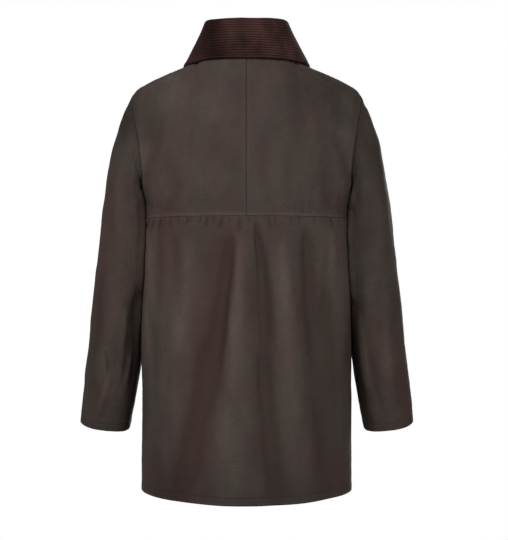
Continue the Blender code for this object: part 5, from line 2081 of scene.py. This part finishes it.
class JACKET_OT_zip(bpy.types.Operator):
    """Makes the zip's tapes and teeth, and finishes its box, slider and pull"""

    bl_idname = "jacket.zip"
    bl_label = "Zip"

    def execute(self, context):
        for word, side in SIDES.items():
            mesh = dress_tape(f"tape_{word}", side)
            add_piece(f"cloth_tape_{word}", mesh, "zip_tape", replaces=f"zip_tape_{word}")
        foot = front_foot() + CHAIN_FOOT + CHAIN_MARGIN
        head = -NECK_FRONT_DROP - CHAIN_HEAD - CHAIN_MARGIN
        pitch = context.scene.jacket_zip.tooth_pitch
        left = np.arange(foot, head, pitch / POINTS_A_TOOTH)
        right = np.arange(foot + pitch / 2, head, pitch / POINTS_A_TOOTH)[::-1]
        lines = []
        for heights in (left, right):
            points, out = front_line(heights)
            lines.append((points - out * TAPE_DEPTH, out, False))
        teeth = repeats("zip_teeth", lines, tooth_piece(), brass(), Pitch=pitch)
        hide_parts("zip_chain")
        for name in ("zip_box", "zip_slider", "zip_pull"):
            bpy.data.objects[name].material_slots[0].material = brass()
        return {"FINISHED"}


class JACKET_OT_stitching(bpy.types.Operator):
    """Sews the topstitching along seams, hem, cuffs, front edges and collar"""

    bl_idname = "jacket.stitching"
    bl_label = "Stitching"

    def execute(self, context):
        settings = context.scene.jacket_cloth
        for count, (word, lines) in enumerate(seam_lines().items()):
            piece = stitch_piece(STITCH_SHARE * settings.stitch_length, settings.thread_width)
            made = repeats(
                f"stitches_{word}", lines, piece, thread(), Pitch=settings.stitch_length,
                Unevenness=STITCH_UNEVENNESS, Seed=settings.seed + count,
            )
        return {"FINISHED"}


def set_floor():
    """The round floor of the studio."""
    mesh = bpy.data.meshes.new("floor")
    edit = bmesh.new()
    bmesh.ops.create_circle(edit, cap_ends=True, segments=FLOOR_SIDES, radius=FLOOR_RADIUS)
    bmesh.ops.translate(edit, verts=edit.verts, vec=(0, 0, FLOOR_HEIGHT))
    edit.to_mesh(mesh)
    edit.free()
    mesh.materials.append(studio_floor())
    linked("floor", mesh)


class JACKET_OT_stage(bpy.types.Operator):
    """Sets the pale floor, the soft studio light and the camera behind the jacket"""

    bl_idname = "jacket.stage"
    bl_label = "Studio"

    def execute(self, context):
        scene = context.scene
        studio = scene.jacket_studio
        set_floor()
        for name, (at, size, setting, share) in LIGHTS.items():
            lamp = bpy.data.lights.new(name, "AREA")
            lamp.shape = "DISK"
            lamp.size = size
            lamp.energy = getattr(studio, setting) * share
            made = linked(name, lamp)
            made.location = at
            made.rotation_euler = (Vector(LIGHTS_AIM) - Vector(at)).to_track_quat("-Z", "Y").to_euler()
        world = bpy.data.worlds.new("studio")
        world.use_nodes = True
        tree = world.node_tree
        seen = place(tree, "ShaderNodeLightPath").outputs["Is Camera Ray"]
        bright = spread(seen, 0.0, 1.0, studio.surround, 1.0)
        fill(tree.nodes["Background"], {"Strength": bright, "Color": (1, 1, 1, 1)})
        scene.world = world
        scene.view_settings.view_transform = "Standard"
        lens = bpy.data.cameras.new("camera")
        lens.sensor_width = SENSOR
        lens.lens = SENSOR * CAMERA_DISTANCE / (FRAME_HEIGHT * METRES_PER_PIXEL)
        camera = linked("camera", lens)
        camera.location = (CAMERA_X, CAMERA_DISTANCE, CAMERA_Z)
        camera.rotation_euler = (math.pi / 2, 0, math.pi)
        scene.camera = camera
        return {"FINISHED"}


class JACKET_PT_pieces(bpy.types.Panel):
    """Lists the jacket's pieces and sizes"""

    bl_label = "Waxed Cotton Jacket"
    bl_idname = "JACKET_PT_pieces"
    bl_space_type = "VIEW_3D"
    bl_region_type = "UI"
    bl_category = "Jacket"

    def draw(self, context):
        for name in SETTINGS:
            box = self.layout.box()
            group = getattr(context.scene, name)
            for key in group.bl_rna.properties.keys():
                if key not in ("rna_type", "name"):
                    box.prop(group, key)
        for operator in OPERATORS:
            self.layout.operator(operator.bl_idname)


SETTINGS = {
    "jacket_cloth": JacketClothSettings,
    "jacket_collar": JacketCollarSettings,
    "jacket_zip": JacketZipSettings,
    "jacket_studio": JacketStudioSettings,
}
OPERATORS = (
    JACKET_OT_lower_back,
    JACKET_OT_upper_back,
    JACKET_OT_fronts,
    JACKET_OT_sleeves,
    JACKET_OT_allowances,
    JACKET_OT_collar,
    JACKET_OT_zip,
    JACKET_OT_stitching,
    JACKET_OT_stage,
)
CLASSES = (*SETTINGS.values(), *OPERATORS, JACKET_PT_pieces)


def register():
    """Adds the settings, operators and panel."""
    for made in CLASSES:
        bpy.utils.register_class(made)
    for name, group in SETTINGS.items():
        setattr(bpy.types.Scene, name, PointerProperty(type=group))


def unregister():
    """Takes them away again."""
    for name in SETTINGS:
        delattr(bpy.types.Scene, name)
    for made in reversed(CLASSES):
        bpy.utils.unregister_class(made)


def main():
    """Makes the whole jacket and its studio."""
    register()
    for operator in OPERATORS:
        group, name = operator.bl_idname.split(".")
        getattr(getattr(bpy.ops, group), name)()


if __name__ == "__main__":
    main()
